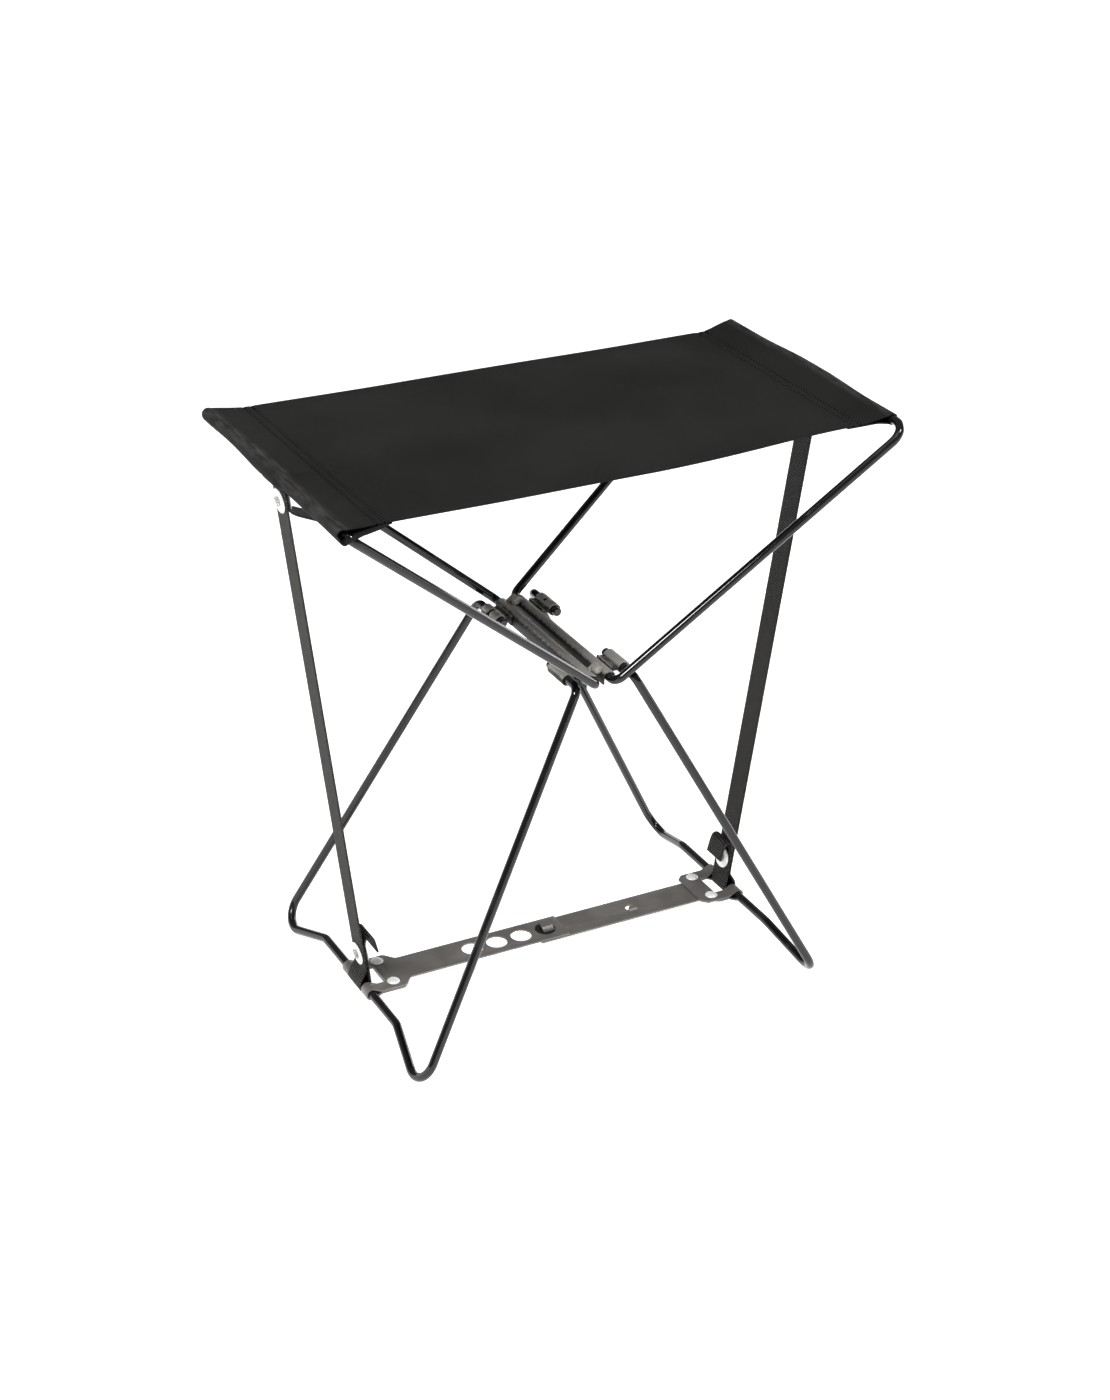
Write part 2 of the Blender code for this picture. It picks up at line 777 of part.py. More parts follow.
def build():
    clear_scene()
    black_wire = material("black_enamel_wire", (0.012, 0.012, 0.013), 0.28, 0.0)
    pressed_steel = material("dark_pressed_steel", (0.055, 0.052, 0.049), 0.45, 0.6)
    link_steel = material("dark_link_steel", (0.060, 0.057, 0.053), 0.50, 0.5)
    bright_zinc = material("bright_zinc", (0.80, 0.80, 0.81), 0.28, 1.0)
    woven_seat = material("woven_seat", (0.018, 0.018, 0.018), 0.85, 0.0)
    webbing = material("webbing", (0.022, 0.021, 0.021), 0.80, 0.0)

    hinge = Vector((0, 0, HINGE_Z))
    seats = {"left": body_empty("left_seat", hinge)}
    seats["right"] = body_empty("right_seat", hinge, seats["left"])
    for side_name, side in SIDES.items():
        seat_body = seats[side_name]
        leg_axis = Vector((side * LEG_PIVOT_X, 0, LEG_PIVOT_Z))
        leg_body = body_empty(f"{side_name}_leg", leg_axis, seat_body)
        rail_axis = Vector((side * BOTTOM_RAIL_X, 0, BOTTOM_RAIL_Z))
        link_body = body_empty(f"{side_name}_link", rail_axis, leg_body)
        seat_frame(side_name, black_wire, seat_body)
        leg_frame(side_name, black_wire, leg_body)
        hub_bar(side_name, pressed_steel, seat_body)
        link_strip(side_name, link_steel, link_body)
        strap(side_name, webbing, seat_body)
        for end_name in ENDS:
            leg_clip(end_name, side_name, pressed_steel, seat_body)
            link_rivet(end_name, side_name, bright_zinc, link_body)
        strap_fasteners("top", side_name, bright_zinc, seat_body)
        strap_fasteners("bottom", side_name, bright_zinc, leg_body)
        if side_name == "right":
            link_hook(link_steel, link_body)
    for end_name in ENDS:
        hub_pin(end_name, bright_zinc, seats["left"])
    seat_fabric(woven_seat, seats["left"])


build()
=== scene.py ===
"""Looks of the folding camp stool: fine wires, fabric, webbing, fasteners, materials, camera and
studio light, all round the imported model. Metres, +Z up, X across the stool, Y from front to back.
"""

import json
from math import asin, cos, exp, hypot, pi, radians, sin, tan

import bmesh
import bpy
from mathutils import Matrix, Vector

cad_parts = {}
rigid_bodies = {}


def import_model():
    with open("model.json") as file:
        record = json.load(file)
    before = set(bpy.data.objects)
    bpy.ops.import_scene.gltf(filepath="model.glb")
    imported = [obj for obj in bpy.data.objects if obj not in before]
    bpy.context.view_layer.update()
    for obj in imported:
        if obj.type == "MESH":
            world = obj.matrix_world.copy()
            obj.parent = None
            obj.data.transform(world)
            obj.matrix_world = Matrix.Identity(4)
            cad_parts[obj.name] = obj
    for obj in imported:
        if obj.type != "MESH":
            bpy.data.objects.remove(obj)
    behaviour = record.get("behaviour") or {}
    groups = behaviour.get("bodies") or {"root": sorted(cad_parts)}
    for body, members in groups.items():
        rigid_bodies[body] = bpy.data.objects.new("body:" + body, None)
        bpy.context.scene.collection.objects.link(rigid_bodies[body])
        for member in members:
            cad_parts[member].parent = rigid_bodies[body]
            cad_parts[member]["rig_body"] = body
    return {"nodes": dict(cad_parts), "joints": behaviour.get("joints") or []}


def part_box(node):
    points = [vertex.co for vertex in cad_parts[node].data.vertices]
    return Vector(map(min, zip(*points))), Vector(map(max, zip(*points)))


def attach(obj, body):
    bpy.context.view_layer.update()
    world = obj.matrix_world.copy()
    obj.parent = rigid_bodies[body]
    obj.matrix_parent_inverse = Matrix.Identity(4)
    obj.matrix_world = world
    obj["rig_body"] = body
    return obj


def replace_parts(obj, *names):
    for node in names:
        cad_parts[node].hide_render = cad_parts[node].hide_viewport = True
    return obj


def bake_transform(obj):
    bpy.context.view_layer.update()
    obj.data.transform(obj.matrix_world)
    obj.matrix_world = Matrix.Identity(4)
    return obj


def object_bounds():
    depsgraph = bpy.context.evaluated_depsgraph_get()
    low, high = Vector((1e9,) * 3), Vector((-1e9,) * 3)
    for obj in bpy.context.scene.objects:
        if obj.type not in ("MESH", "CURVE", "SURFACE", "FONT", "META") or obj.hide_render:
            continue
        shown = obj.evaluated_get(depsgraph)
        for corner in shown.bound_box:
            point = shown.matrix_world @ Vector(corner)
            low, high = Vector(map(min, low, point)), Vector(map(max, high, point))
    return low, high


SIDES = {"left": -1, "right": 1}
ENDS = {"front": -1, "rear": 1}
X_AXIS, Y_AXIS, Z_AXIS = Vector((1, 0, 0)), Vector((0, 1, 0)), Vector((0, 0, 1))

# Wire. Corner points are where straight runs would meet without a bend.
WIRE_R = 0.003
SEAT_CORNER_Y = 0.1055
SEAT_HUB_Y = 0.0726
SEAT_WIRE_END_Y = 0.0300
FOOT_X = 0.1542
FOOT_Y = 0.1162
LEG_HUB_Y = 0.0715
LEG_WIRE_END_Y = 0.0330
BOTTOM_RAIL_CORNER_Y = 0.0584
SEAT_BEND_R = 0.012
HUB_BEND_R = 0.007
FOOT_BEND_R = 0.014
RAIL_BEND_R = 0.016
BEND_STEP = radians(5)
WIRE_SIDES = 24
END_CHAMFER = 0.0005

# Seat fabric.
CLOTH = 0.0008
SLEEVE_EASE = 0.0002
SLEEVE_R = WIRE_R + SLEEVE_EASE + CLOTH / 2
SEAM_X = 0.1660
SEAM_WIDTH = 0.0055
HEM_END_X = 0.1615
UNDER_REACH = 0.0040
SEAM_DENT = 0.0004
SEAM_DENT_WIDTH = 0.0011
SEAT_SAG = 0.0002
# Ripple of the panel: its height, radians per metre each way, and where it is strongest.
RIPPLE = 0.00035
RIPPLE_ALONG = 95
RIPPLE_PHASE = 1.3
RIPPLE_ACROSS = 18
RIPPLE_MIDDLE = 0.09
# Rise from the seam to the sleeve, as shares of the seam's width and of the way to the sleeve.
RISE_START = 0.4
RISE_END = 1.25
# Way from the sleeve back to the hem, underneath.
HEM_REST = -CLOTH * 1.15
HEM_EASE_START = -0.15
HEM_EASE_END = 0.38
HEM_DROOP = 0.6
HEM_DROOP_REACH = 1.2
STRAP_BULGE = 0.0016
STRAP_BULGE_FLAT = 0.0100
STRAP_BULGE_FRONT = {"left": 0.0190, "right": 0.0700}
STRAP_BULGE_REAR = {"left": 0.0650, "right": 0.0700}
SLEEVE_DROOP = {"left": 0.0012, "right": 0.0}
SLEEVE_DROOP_START = 0.070
SLIT_HALF = 0.0106
SLIT_FROM = -0.0023
SLIT_REACH = 0.0100
# The cloth sits a little skew: it reaches further over the rear, and its front edge runs back
# towards the right.
EDGE_Y = 0.0990
REAR_Y = 0.1068
REAR_RIGHT_FLARE = 0.0055
FRONT_SKEW = 0.0110
FRONT_SKEW_START = 0.0100
FRONT_LEFT_FLARE = 0.0060
STITCH = 0.0025
STITCH_PITCH = 0.0033
STITCH_R = 0.00028
STITCH_END = 0.25
STITCH_SINK = 0.7
STITCH_STEPS = 4
STITCH_SIDES = 6
# Steps of the cloth: half panel, rise to the sleeve, over the rail's top, round the whole rail,
# back to the hem, and rows from front to back.
PANEL_STEPS = 56
SLOPE_STEPS = 16
CREST_STEPS = 3
WRAP_STEPS = 22
UNDER_STEPS = 14
CLOTH_ROWS = 96
CLOTH_SHARP_ANGLE = radians(60)

# Straps.
WEBBING = 0.0013
STRAP_HALF_WIDTH = 0.0095
WEBBING_SHARP_ANGLE = radians(50)
# Selvedge: its width as a share of half the thickness, and the middle of its round as shares.
SELVEDGE = 0.8
SELVEDGE_OUT = 0.3
SELVEDGE_UP = 0.7
RIVET_TOP = 0.0200
RIVET_BOTTOM = 0.0220
LAYER_GAP = 0.0003
LAYER = WEBBING + LAYER_GAP
STRAP_INSET = 0.0026
# Turn round a rail, as distances from the rail along the strap: where its straight parts end,
# and the control points of the curves that lead into the half turn and out of it.
TURN_MEET = 0.0135
TURN_EASE_IN = 0.0095
TURN_PULL_IN = 0.0075
TURN_PULL_OUT = 0.0055
TURN_EASE_OUT = 0.0075
WAY_IN_STEPS = 10
TURN_STEPS = 16
WAY_OUT_STEPS = 8
STRAIGHT_START = 0.0140
STRAIGHT_STEPS = 40
# Free tails, as (out, down) control points from the rivet in the turned-back layer.
TOP_TAIL = ((-0.0225, 0.0205), (-0.0105, 0.0122), (0, 0.0078), (0, 0.0040))
BOTTOM_TAIL_RISE = ((0, -0.0070), (0, -0.0130), (-0.0010, -0.0155), (-0.0040, -0.0155))
BOTTOM_TAIL_FALL = (
    (-0.0040, -0.0155),
    (-0.0076, -0.0155),
    (-0.0073, -0.0105),
    (-0.0085, -0.0015),
)
TOP_TAIL_STEPS = 16
BOTTOM_TAIL_STEPS = 10

# Metal pieces.
WELD = 0.000001
FLAT_ANGLE = radians(1)
EDGE_ANGLE = radians(35)
SHARP_ANGLE = radians(40)
EDGE_ROUND = 0.00022
ROUND_SIDES = 48
PETALS = 6
GAP = 0.0003
DOME_STEPS = 9
DOME_START = radians(8)
DOME_END = radians(84)
DOME_FOOT = 0.93
WASHER_THICKNESS = 0.0010
WASHER_R = 0.0080
WASHER_BORE = 0.0026
WASHER_EDGE = 0.0003
# Hub bar: the radius of its round crown, and the wire's axis over its underside.
BAR_R = 0.0045
WIRE_OVER_BASE = 0.0048
PIN_Y = 0.0575
PIN_R = 0.0015
PIN_HEAD = 0.0012
PIN_HEAD_R = 0.0028
EAR_THICKNESS = 0.0022
# Slot in the crown of the left bar.
NOTCH_Y = -0.0030
NOTCH_SHIFT = 0.0012
NOTCH_LENGTH = 0.0042
NOTCH_ARCH = 0.0016
NOTCH_HALF_WIDTH = 0.0006
NOTCH_END = 0.35
NOTCH_LOW = -0.0014
NOTCH_HIGH = 0.0020
NOTCH_STEPS = 8
# Gap between the bands of a rear clip, placed from the leg's pivot.
CLIP_GAP_OUT = 0.0008
CLIP_GAP_Y = 0.0485
CLIP_GAP_UP = 0.0022
CLIP_GAP_SIZE = (0.0075, 0.0034, 0.0062)
# Rivets of the link and straps.
SHANK_R = 0.0022
BACK_HEAD = 0.0012
BACK_HEAD_R = 0.0036
LINK_HEAD = 0.0020
LINK_HEAD_R = 0.0045
STRAP_HEAD = 0.0010
# Split end of a strap rivet: (height over the washer, radius, depth of the petals).
SPLIT_END = (
    (0.0002, 0.0032, 0.15),
    (0.0005, 0.0037, 0.55),
    (0.0011, 0.0038, 0.62),
    (0.0015, 0.0030, 0.55),
    (0.0011, 0.0018, 0.20),
    (0.0004, 0.0012, 0.00),
)
# Link, with heights from the plane where its two strips meet.
LINK_FACE = 0.00165
LINK_SHEET = 0.0012
LINK_SHEET_MIDDLE = 0.00075
TONGUE_TAPER_START = 0.6
TONGUE_TAPER = 4.2
TONGUE_END = 0.2
TONGUE_EDGE_ANGLE = radians(50)
# Hook: its hole from the middle of its box, the dark disc of painted shadow in that hole, and the ways
# back of its tongue's points.
HOOK_HOLE = 0.0028
HOOK_SHELF = 0.00012
SHADOW_DISC_R = 0.0070
SHADOW_DISC_EDGE_R = 0.0068
SHADOW_DISC_BORE = 0.0010
SHADOW_DISC_MIDDLE = 0.0003
SHADOW_DISC_TOP = 0.0005
HOOK_STUD = 0.0022
HOOK_HALF_WIDTH = 0.0042
HOOK_ROOT_Z = 0.0002
HOOK_TOP_Z = LINK_FACE + 0.0006
HOOK_LIP_Z = LINK_FACE + 0.0005
HOOK_ROOT = (-0.0030, -0.0016)
HOOK_RISE = (0.0006, 0.0004, 0.0030)
HOOK_LIP = (0.0055, 0.0072, 0.0086)
HOOK_RISE_STEPS = 8
HOOK_LIP_STEPS = 5
# Tab over the right strip's round hole, as (back, up) control points from the hole's front.
TAB_X = 0.0666
TAB_Y = -0.0046
TAB_HALF_WIDTH = 0.0034
TAB_CURVE = (
    (-0.0012, -LINK_SHEET_MIDDLE),
    (0.0010, -LINK_SHEET_MIDDLE),
    (0.0012, 0.0012),
    (0.0043, 0.0010),
)
TAB_STEPS = 8

# Textures. The hub's steel has painted shade up to one height over the wire's axis and a painted
# highlight on the crown from the other.
PAINTED_SHADE_TOP = 0.0019
PAINTED_HIGHLIGHT_BASE = 0.0040
WEAVE_PITCH = 0.00062
RIB_PITCH = 0.0019
YARN_PITCH = 0.0011
# Sockets of the Mix node, which repeats its names for each type of data.
MIX_SHARE = 0
MIX_FLOATS = (2, 3)
MIX_COLOURS = (6, 7)
MIX_COLOUR_OUT = 2

# Camera.
CAMERA_AZIMUTH = radians(-28.468)
CAMERA_ELEVATION = radians(27.427)
CAMERA_ROLL = radians(1.212)
CAMERA_DISTANCE = 1.756
CAMERA_TARGET = Vector((0.0016, -0.0004, 0.1967))
CAMERA_LENS = 67.40
CAMERA_SENSOR = 36.0
CAMERA_CLIP = 0.05

# Studio: a dim even world, and a glowing pale floor with a far wall all round it.
WORLD_LIGHT = 0.22
FLOOR_GLOW = 0.78
FLOOR_SIZE = 60.0
WALL_GLOW = 1.0
WALL_DISTANCE = 50.0
WALL_HEIGHT = 7.0
WALL_SEGMENTS = 64
# Area lights: (name, place, the point it faces, size, watts).
LIGHTS = (
    ("line_left", (-1.35, -0.60, 1.60), (0, 0, 0.25), (0.80, 0.30), 30),
    ("line_right", (1.80, 0.50, 0.45), (0, 0, 0.20), (0.60, 0.60), 8),
    ("key", (0.70, -0.50, 1.50), (0, 0, 0.25), (0.30, 0.16), 8),
    ("top_box", (-0.20, -0.20, 1.70), (0, 0, 0.25), (1.50, 0.70), 5),
)


# ---------------------------------------------------------------- the frame


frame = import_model()
CAD_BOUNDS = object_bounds()
JOINTS = {joint["name"]: Vector(joint["pos_m"]) for joint in frame["joints"]}
RAIL_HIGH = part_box("seat_frame_right")[1]
SEAT_RAIL = Vector((RAIL_HIGH.x - WIRE_R, 0, RAIL_HIGH.z - WIRE_R))
BOTTOM_RAIL = Vector((JOINTS["right_link_hinge"].x, 0, JOINTS["right_link_hinge"].z))
LEG_PIVOT = Vector((JOINTS["right_leg_hinge"].x, 0, JOINTS["right_leg_hinge"].z))
BAR_LOW, BAR_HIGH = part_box("hub_bar_right")
SEAT_HUB = Vector((BAR_HIGH.x - BAR_R, 0, BAR_LOW.z + WIRE_OVER_BASE))
# Height of the sharp corner under each foot's bend: the leg wire's line through pivot and rail.
LEG_RISE = BOTTOM_RAIL.z - LEG_PIVOT.z
LEG_RUN = BOTTOM_RAIL.x - LEG_PIVOT.x
FOOT_Z = LEG_PIVOT.z + LEG_RISE * (FOOT_X - LEG_PIVOT.x) / LEG_RUN


# ---------------------------------------------------------------- plain geometry


def mirrored(point, side):
    return Vector((side * point.x, point.y, point.z))


def flat(first, second):
    """A point in a piece's own plane."""
    return Vector((first, second, 0))


def smooth_step(value, start, end):
    share = min(max((value - start) / (end - start), 0), 1)
    return share * share * (3 - 2 * share)


def hump(value, half):
    """1 at zero, falling smoothly to 0 at half."""
    return 1 - smooth_step(abs(value), 0, half)


def bend(before, corner, after, radius):
    """Points of the round bend that replaces a sharp corner."""
    into = (before - corner).normalized()
    out = (after - corner).normalized()
    half = into.angle(out) / 2
    reach = radius / tan(half)
    centre = corner + (into + out).normalized() * (radius / sin(half))
    start = corner + into * reach - centre
    end = corner + out * reach - centre
    turn = pi - 2 * half
    steps = max(3, round(turn / BEND_STEP))
    points = []
    for step in range(steps + 1):
        share = step / steps
        points.append(centre + (start * sin((1 - share) * turn) + end * sin(share * turn)) / sin(turn))
    return points


def rounded(corners, radii):
    points = [corners[0]]
    for index in range(1, len(corners) - 1):
        points += bend(corners[index - 1], corners[index], corners[index + 1], radii[index - 1])
    return points + [corners[-1]]


def whole_loop(rear_half):
    rear = rear_half[:-1]
    front = [Vector((p.x, -p.y, p.z)) for p in rear]
    return front + rear[::-1]


def bezier(a, b, c, d, steps):
    """Points of a cubic curve, its first point left out."""
    points = []
    for step in range(1, steps + 1):
        t = step / steps
        points.append(a * (1 - t) ** 3 + b * 3 * t * (1 - t) ** 2 + c * 3 * t * t * (1 - t) + d * t**3)
    return points


def tangents(path):
    found = []
    for index, _ in enumerate(path):
        before = path[max(index - 1, 0)]
        after = path[min(index + 1, len(path) - 1)]
        found.append((after - before).normalized())
    return found


# ---------------------------------------------------------------- mesh helpers


def link_object(name, mesh, finish):
    obj = bpy.data.objects.new(name, mesh)
    bpy.context.scene.collection.objects.link(obj)
    if finish:
        mesh.materials.append(finish)
    return obj


def finished(name, builder, finish, sharp=SHARP_ANGLE):
    bmesh.ops.recalc_face_normals(builder, faces=builder.faces)
    mesh = bpy.data.meshes.new(name)
    builder.to_mesh(mesh)
    builder.free()
    mesh.shade_smooth()
    mesh.set_sharp_from_angle(angle=sharp)
    return link_object(name, mesh, finish)


def applied(obj):
    """Replaces the object's mesh with what its modifiers make of it."""
    bpy.context.view_layer.update()
    evaluated = obj.evaluated_get(bpy.context.evaluated_depsgraph_get())
    mesh = bpy.data.meshes.new_from_object(evaluated)
    old = obj.data
    obj.modifiers.clear()
    obj.data = mesh
    bpy.data.meshes.remove(old)
    return obj


def skin(builder, rows, round_rows=False, caps=False, uvs=None, gap=None):
    """Quads between rows of points. round_rows closes each row, and caps closes the ends.

    gap says of a quad's middle point whether the quad is left out.
    """
    made = [[builder.verts.new(point) for point in row] for row in rows]
    layer = builder.loops.layers.uv.verify() if uvs else None
    count = len(rows[0])
    for i in range(len(made) - 1):
        for j in range(count if round_rows else count - 1):
            k = (j + 1) % count
            corners = ((i, j), (i, k), (i + 1, k), (i + 1, j))
            if gap and gap(sum((rows[a][b] for a, b in corners), Vector()) / 4):
                continue
            face = builder.faces.new([made[a][b] for a, b in corners])
            if uvs:
                for loop, (a, b) in zip(face.loops, corners):
                    loop[layer].uv = uvs[a][b]
    if caps:
        builder.faces.new(made[0])
        builder.faces.new(made[-1])


def tube(name, path, radius, finish):
    """A round wire along a path, with lightly chamfered ends."""
    along = tangents(path)
    across = along[0].cross(Z_AXIS if abs(along[0].z) < 0.9 else X_AXIS).normalized()
    rows = []
    last = len(path) - 1
    for index, (point, direction) in enumerate(zip(path, along)):
        across = (across - direction * across.dot(direction)).normalized()
        third = direction.cross(across)
        stations = [(point, radius)]
        if index == 0:
            stations = [(point, radius - END_CHAMFER), (point + direction * END_CHAMFER, radius)]
        if index == last:
            stations = [(point - direction * END_CHAMFER, radius), (point, radius - END_CHAMFER)]
        for centre, size in stations:
            angles = [2 * pi * step / WIRE_SIDES for step in range(WIRE_SIDES)]
            rows.append([centre + across * size * cos(a) + third * size * sin(a) for a in angles])
    builder = bmesh.new()
    skin(builder, rows, round_rows=True, caps=True)
    return finished(name, builder, finish)


def turned_rows(origin, axis, profile):
    """Rings of points round an axis. The profile holds (height, radius, depth of the petals)."""
    turn = axis.normalized().to_track_quat("Z", "X").to_matrix()
    rows = []
    for height, radius, depth in profile:
        row = []
        for step in range(ROUND_SIDES):
            angle = 2 * pi * step / ROUND_SIDES
            reach = radius * (1 - depth * (0.5 - 0.5 * cos(PETALS * angle)))
            row.append(origin + turn @ Vector((reach * cos(angle), reach * sin(angle), height)))
        rows.append(row)
    return rows


def turned(name, origin, axis, profile, finish):
    """A solid round piece, from one end of its axis to the other."""
    full = [(*pair, 0) if len(pair) == 2 else pair for pair in profile]
    builder = bmesh.new()
    skin(builder, turned_rows(origin, axis, full), round_rows=True, caps=True)
    return finished(name, builder, finish)


def washer(name, origin, axis, start, finish):
    """A flat ring with rounded edges, from start outwards along the axis."""
    edge, stop = WASHER_EDGE, start + WASHER_THICKNESS
    outline = [(start, WASHER_BORE + edge), (start, WASHER_R - edge), (start + edge, WASHER_R)]
    outline += [(stop - edge, WASHER_R), (stop, WASHER_R - edge), (stop, WASHER_BORE + edge)]
    outline += [(stop - edge, WASHER_BORE), (start + edge, WASHER_BORE), (start, WASHER_BORE + edge)]
    builder = bmesh.new()
    skin(builder, turned_rows(origin, axis, [(*pair, 0) for pair in outline]), round_rows=True)
    bmesh.ops.remove_doubles(builder, verts=builder.verts, dist=WELD)
    return finished(name, builder, finish)


def dome(face, thickness, radius):
    """(height, radius) pairs of a domed head on a face, from its underside to its crown."""
    pairs = [(face, radius * DOME_FOOT)]
    for step in range(DOME_STEPS + 1):
        angle = DOME_START + (DOME_END - DOME_START) * step / DOME_STEPS
        pairs.append((face + thickness * sin(angle), radius * cos(angle)))
    return pairs


def underneath(pairs):
    """The same head on the other side of the origin, from its crown to its underside."""
    return [(-height, radius) for height, radius in reversed(pairs)]


def round_edges(builder, edges):
    bmesh.ops.bevel(
        builder,
        geom=edges,
        offset=EDGE_ROUND,
        segments=2,
        profile=0.5,
        affect="EDGES",
        clamp_overlap=True,
    )


def edged(node_name, piece_name, finish, cutters=()):
    """A finer copy of a CAD node: cutters taken out, flat faces joined up, sharp edges rounded."""
    mesh = frame["nodes"][node_name].data.copy()
    mesh.materials.clear()
    builder = bmesh.new()
    builder.from_mesh(mesh)
    bmesh.ops.remove_doubles(builder, verts=builder.verts, dist=WELD)
    builder.to_mesh(mesh)
    builder.free()
    piece = link_object(piece_name, mesh, finish)
    for cutter in cutters:
        cut = piece.modifiers.new("Cut", "BOOLEAN")
        cut.operation = "DIFFERENCE"
        cut.solver = "EXACT"
        cut.object = cutter
    applied(piece)
    for cutter in cutters:
        bpy.data.objects.remove(cutter)
    builder = bmesh.new()
    builder.from_mesh(piece.data)
    bmesh.ops.dissolve_limit(builder, angle_limit=FLAT_ANGLE, verts=builder.verts, edges=builder.edges)
    crisp = [e for e in builder.edges if len(e.link_faces) == 2 and e.calc_face_angle() > EDGE_ANGLE]
    round_edges(builder, crisp)
    builder.to_mesh(piece.data)
    builder.free()
    piece.data.shade_smooth()
    piece.data.set_sharp_from_angle(angle=EDGE_ANGLE)
    return piece


def stands_for(piece, node_name):
    """Shows the piece in place of the CAD node, on the node's own body."""
    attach(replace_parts(piece, node_name), frame["nodes"][node_name]["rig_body"])


# ---------------------------------------------------------------- materials


class Finish:
    """A Principled material, with short ways to add its texture nodes."""

    def __init__(self, name, colour, roughness, metallic=0.0, **sockets):
        self.material = bpy.data.materials.new(name)
        self.material.use_nodes = True
        self.material.diffuse_color = (*colour, 1)
        self.tree = self.material.node_tree
        self.shader = self.tree.nodes["Principled BSDF"]
        self.shader.inputs["Base Color"].default_value = (*colour, 1)
        self.shader.inputs["Roughness"].default_value = roughness
        self.shader.inputs["Metallic"].default_value = metallic
        for socket, value in sockets.items():
            self.shader.inputs[socket.replace("_", " ")].default_value = value
        self.place = self.node("ShaderNodeTexCoord")

    def node(self, kind, settings=None, **values):
        made = self.tree.nodes.new(kind)
        for key, value in (settings or {}).items():
            setattr(made, key, value)
        for key, value in values.items():
            self.feed(value, made.inputs[key.replace("_", " ")])
        return made

    def feed(self, value, socket):
        if isinstance(value, bpy.types.NodeSocket):
            self.tree.links.new(value, socket)
        else:
            socket.default_value = value

    def math(self, operation, first, second=0.0):
        made = self.node("ShaderNodeMath", {"operation": operation})
        self.feed(first, made.inputs[0])
        self.feed(second, made.inputs[1])
        return made.outputs[0]

    def noise(self, scale, detail=3.0, roughness=0.5, source="Object", stretch=None):
        vector = self.place.outputs[source]
        if stretch:
            vector = self.node("ShaderNodeMapping", Vector=vector, Scale=stretch).outputs[0]
        values = {"Scale": scale, "Detail": detail, "Roughness": roughness}
        return self.node("ShaderNodeTexNoise", Vector=vector, **values).outputs["Fac"]

    def span(self, value, low, high, out_low=0.0, out_high=1.0):
        """Maps low..high to out_low..out_high, and stops at the ends."""
        ends = {"From_Min": low, "From_Max": high, "To_Min": out_low, "To_Max": out_high}
        smooth = {"interpolation_type": "SMOOTHSTEP"}
        return self.node("ShaderNodeMapRange", smooth, Value=value, **ends).outputs[0]

    def mix(self, share, first, second):
        made = self.node("ShaderNodeMix", {"data_type": "RGBA"})
        self.feed(share, made.inputs[MIX_SHARE])
        for index, value in zip(MIX_COLOURS, (first, second)):
            self.feed((*value, 1) if isinstance(value, tuple) else value, made.inputs[index])
        return made.outputs[MIX_COLOUR_OUT]

    def colour(self, value):
        self.feed(value, self.shader.inputs["Base Color"])

    def roughness(self, value):
        self.feed(value, self.shader.inputs["Roughness"])

    def bump(self, height, distance, strength=1.0):
        made = self.node("ShaderNodeBump", Height=height, Distance=distance, Strength=strength)
        if self.shader.inputs["Normal"].is_linked:
            before = self.shader.inputs["Normal"].links[0].from_socket
            self.feed(before, made.inputs["Normal"])
        self.feed(made.outputs[0], self.shader.inputs["Normal"])

    def uv(self):
        split = self.node("ShaderNodeSeparateXYZ", Vector=self.place.outputs["UV"])
        return split.outputs[0], split.outputs[1]


def enamel():
    """Gloss black enamel with faint orange peel and a few dull rubs."""
    made = Finish("black_enamel", (0.004, 0.004, 0.0042), 0.07, Specular_IOR_Level=0.45)
    rubs = made.span(made.noise(45, 4), 0.52, 0.72)
    made.roughness(made.span(rubs, 0, 1, 0.07, 0.26))
    made.colour(made.mix(rubs, (0.004, 0.004, 0.0042), (0.010, 0.0095, 0.009)))
    made.bump(made.noise(900, 2), 0.00001, 0.3)
    return made.material


def pressed_steel():
    """Satin grey-brown finish, with a painted highlight on the crowns and painted shade down the
    sides.
    """
    made = Finish("pressed_steel", (0.10, 0.094, 0.088), 0.46, 0.25)
    height = made.node("ShaderNodeSeparateXYZ", Vector=made.place.outputs["Object"]).outputs[2]
    mottle = made.math("MULTIPLY", made.math("SUBTRACT", made.noise(350, 4, 0.6), 0.5), 0.0030)
    spotted = made.math("ADD", height, mottle)
    # Painted light on the hub: a pale crown stands in for a highlight, and dark sides stand in for
    # shade.
    crown = made.span(spotted, SEAT_HUB.z + PAINTED_SHADE_TOP, SEAT_HUB.z + PAINTED_HIGHLIGHT_BASE)
    fine = made.noise(1300, 3)
    # Pale speckled colour of the painted crown highlight.
    highlight_colour = made.mix(made.span(fine, 0.3, 0.7), (0.27, 0.256, 0.235), (0.44, 0.420, 0.386))
    made.colour(made.mix(crown, (0.017, 0.016, 0.015), highlight_colour))
    made.roughness(made.span(crown, 0, 1, 0.60, 0.42))
    made.bump(fine, 0.00003, 0.5)
    return made.material


def link_steel():
    """Satin dark grey strip with faint rolling lines along it."""
    made = Finish("link_steel", (0.10, 0.094, 0.088), 0.40, 0.35)
    lines = made.noise(300, 3, 0.6, stretch=(0.06, 1, 1))
    cloud = made.span(made.noise(40, 4), 0.3, 0.7)
    made.colour(made.mix(cloud, (0.145, 0.136, 0.127), (0.195, 0.184, 0.172)))
    made.roughness(made.span(lines, 0.3, 0.7, 0.34, 0.48))
    made.bump(lines, 0.00003, 0.4)
    return made.material


def plated(name, dull, bright):
    """Zinc plate with small duller spots."""
    made = Finish(name, bright, 0.34, 0.15)
    spots = made.span(made.noise(500, 4, 0.6), 0.35, 0.7)
    made.colour(made.mix(spots, bright, dull))
    made.roughness(made.span(spots, 0, 1, 0.30, 0.44))
    made.bump(made.noise(1500, 2), 0.00002, 0.4)
    return made.material


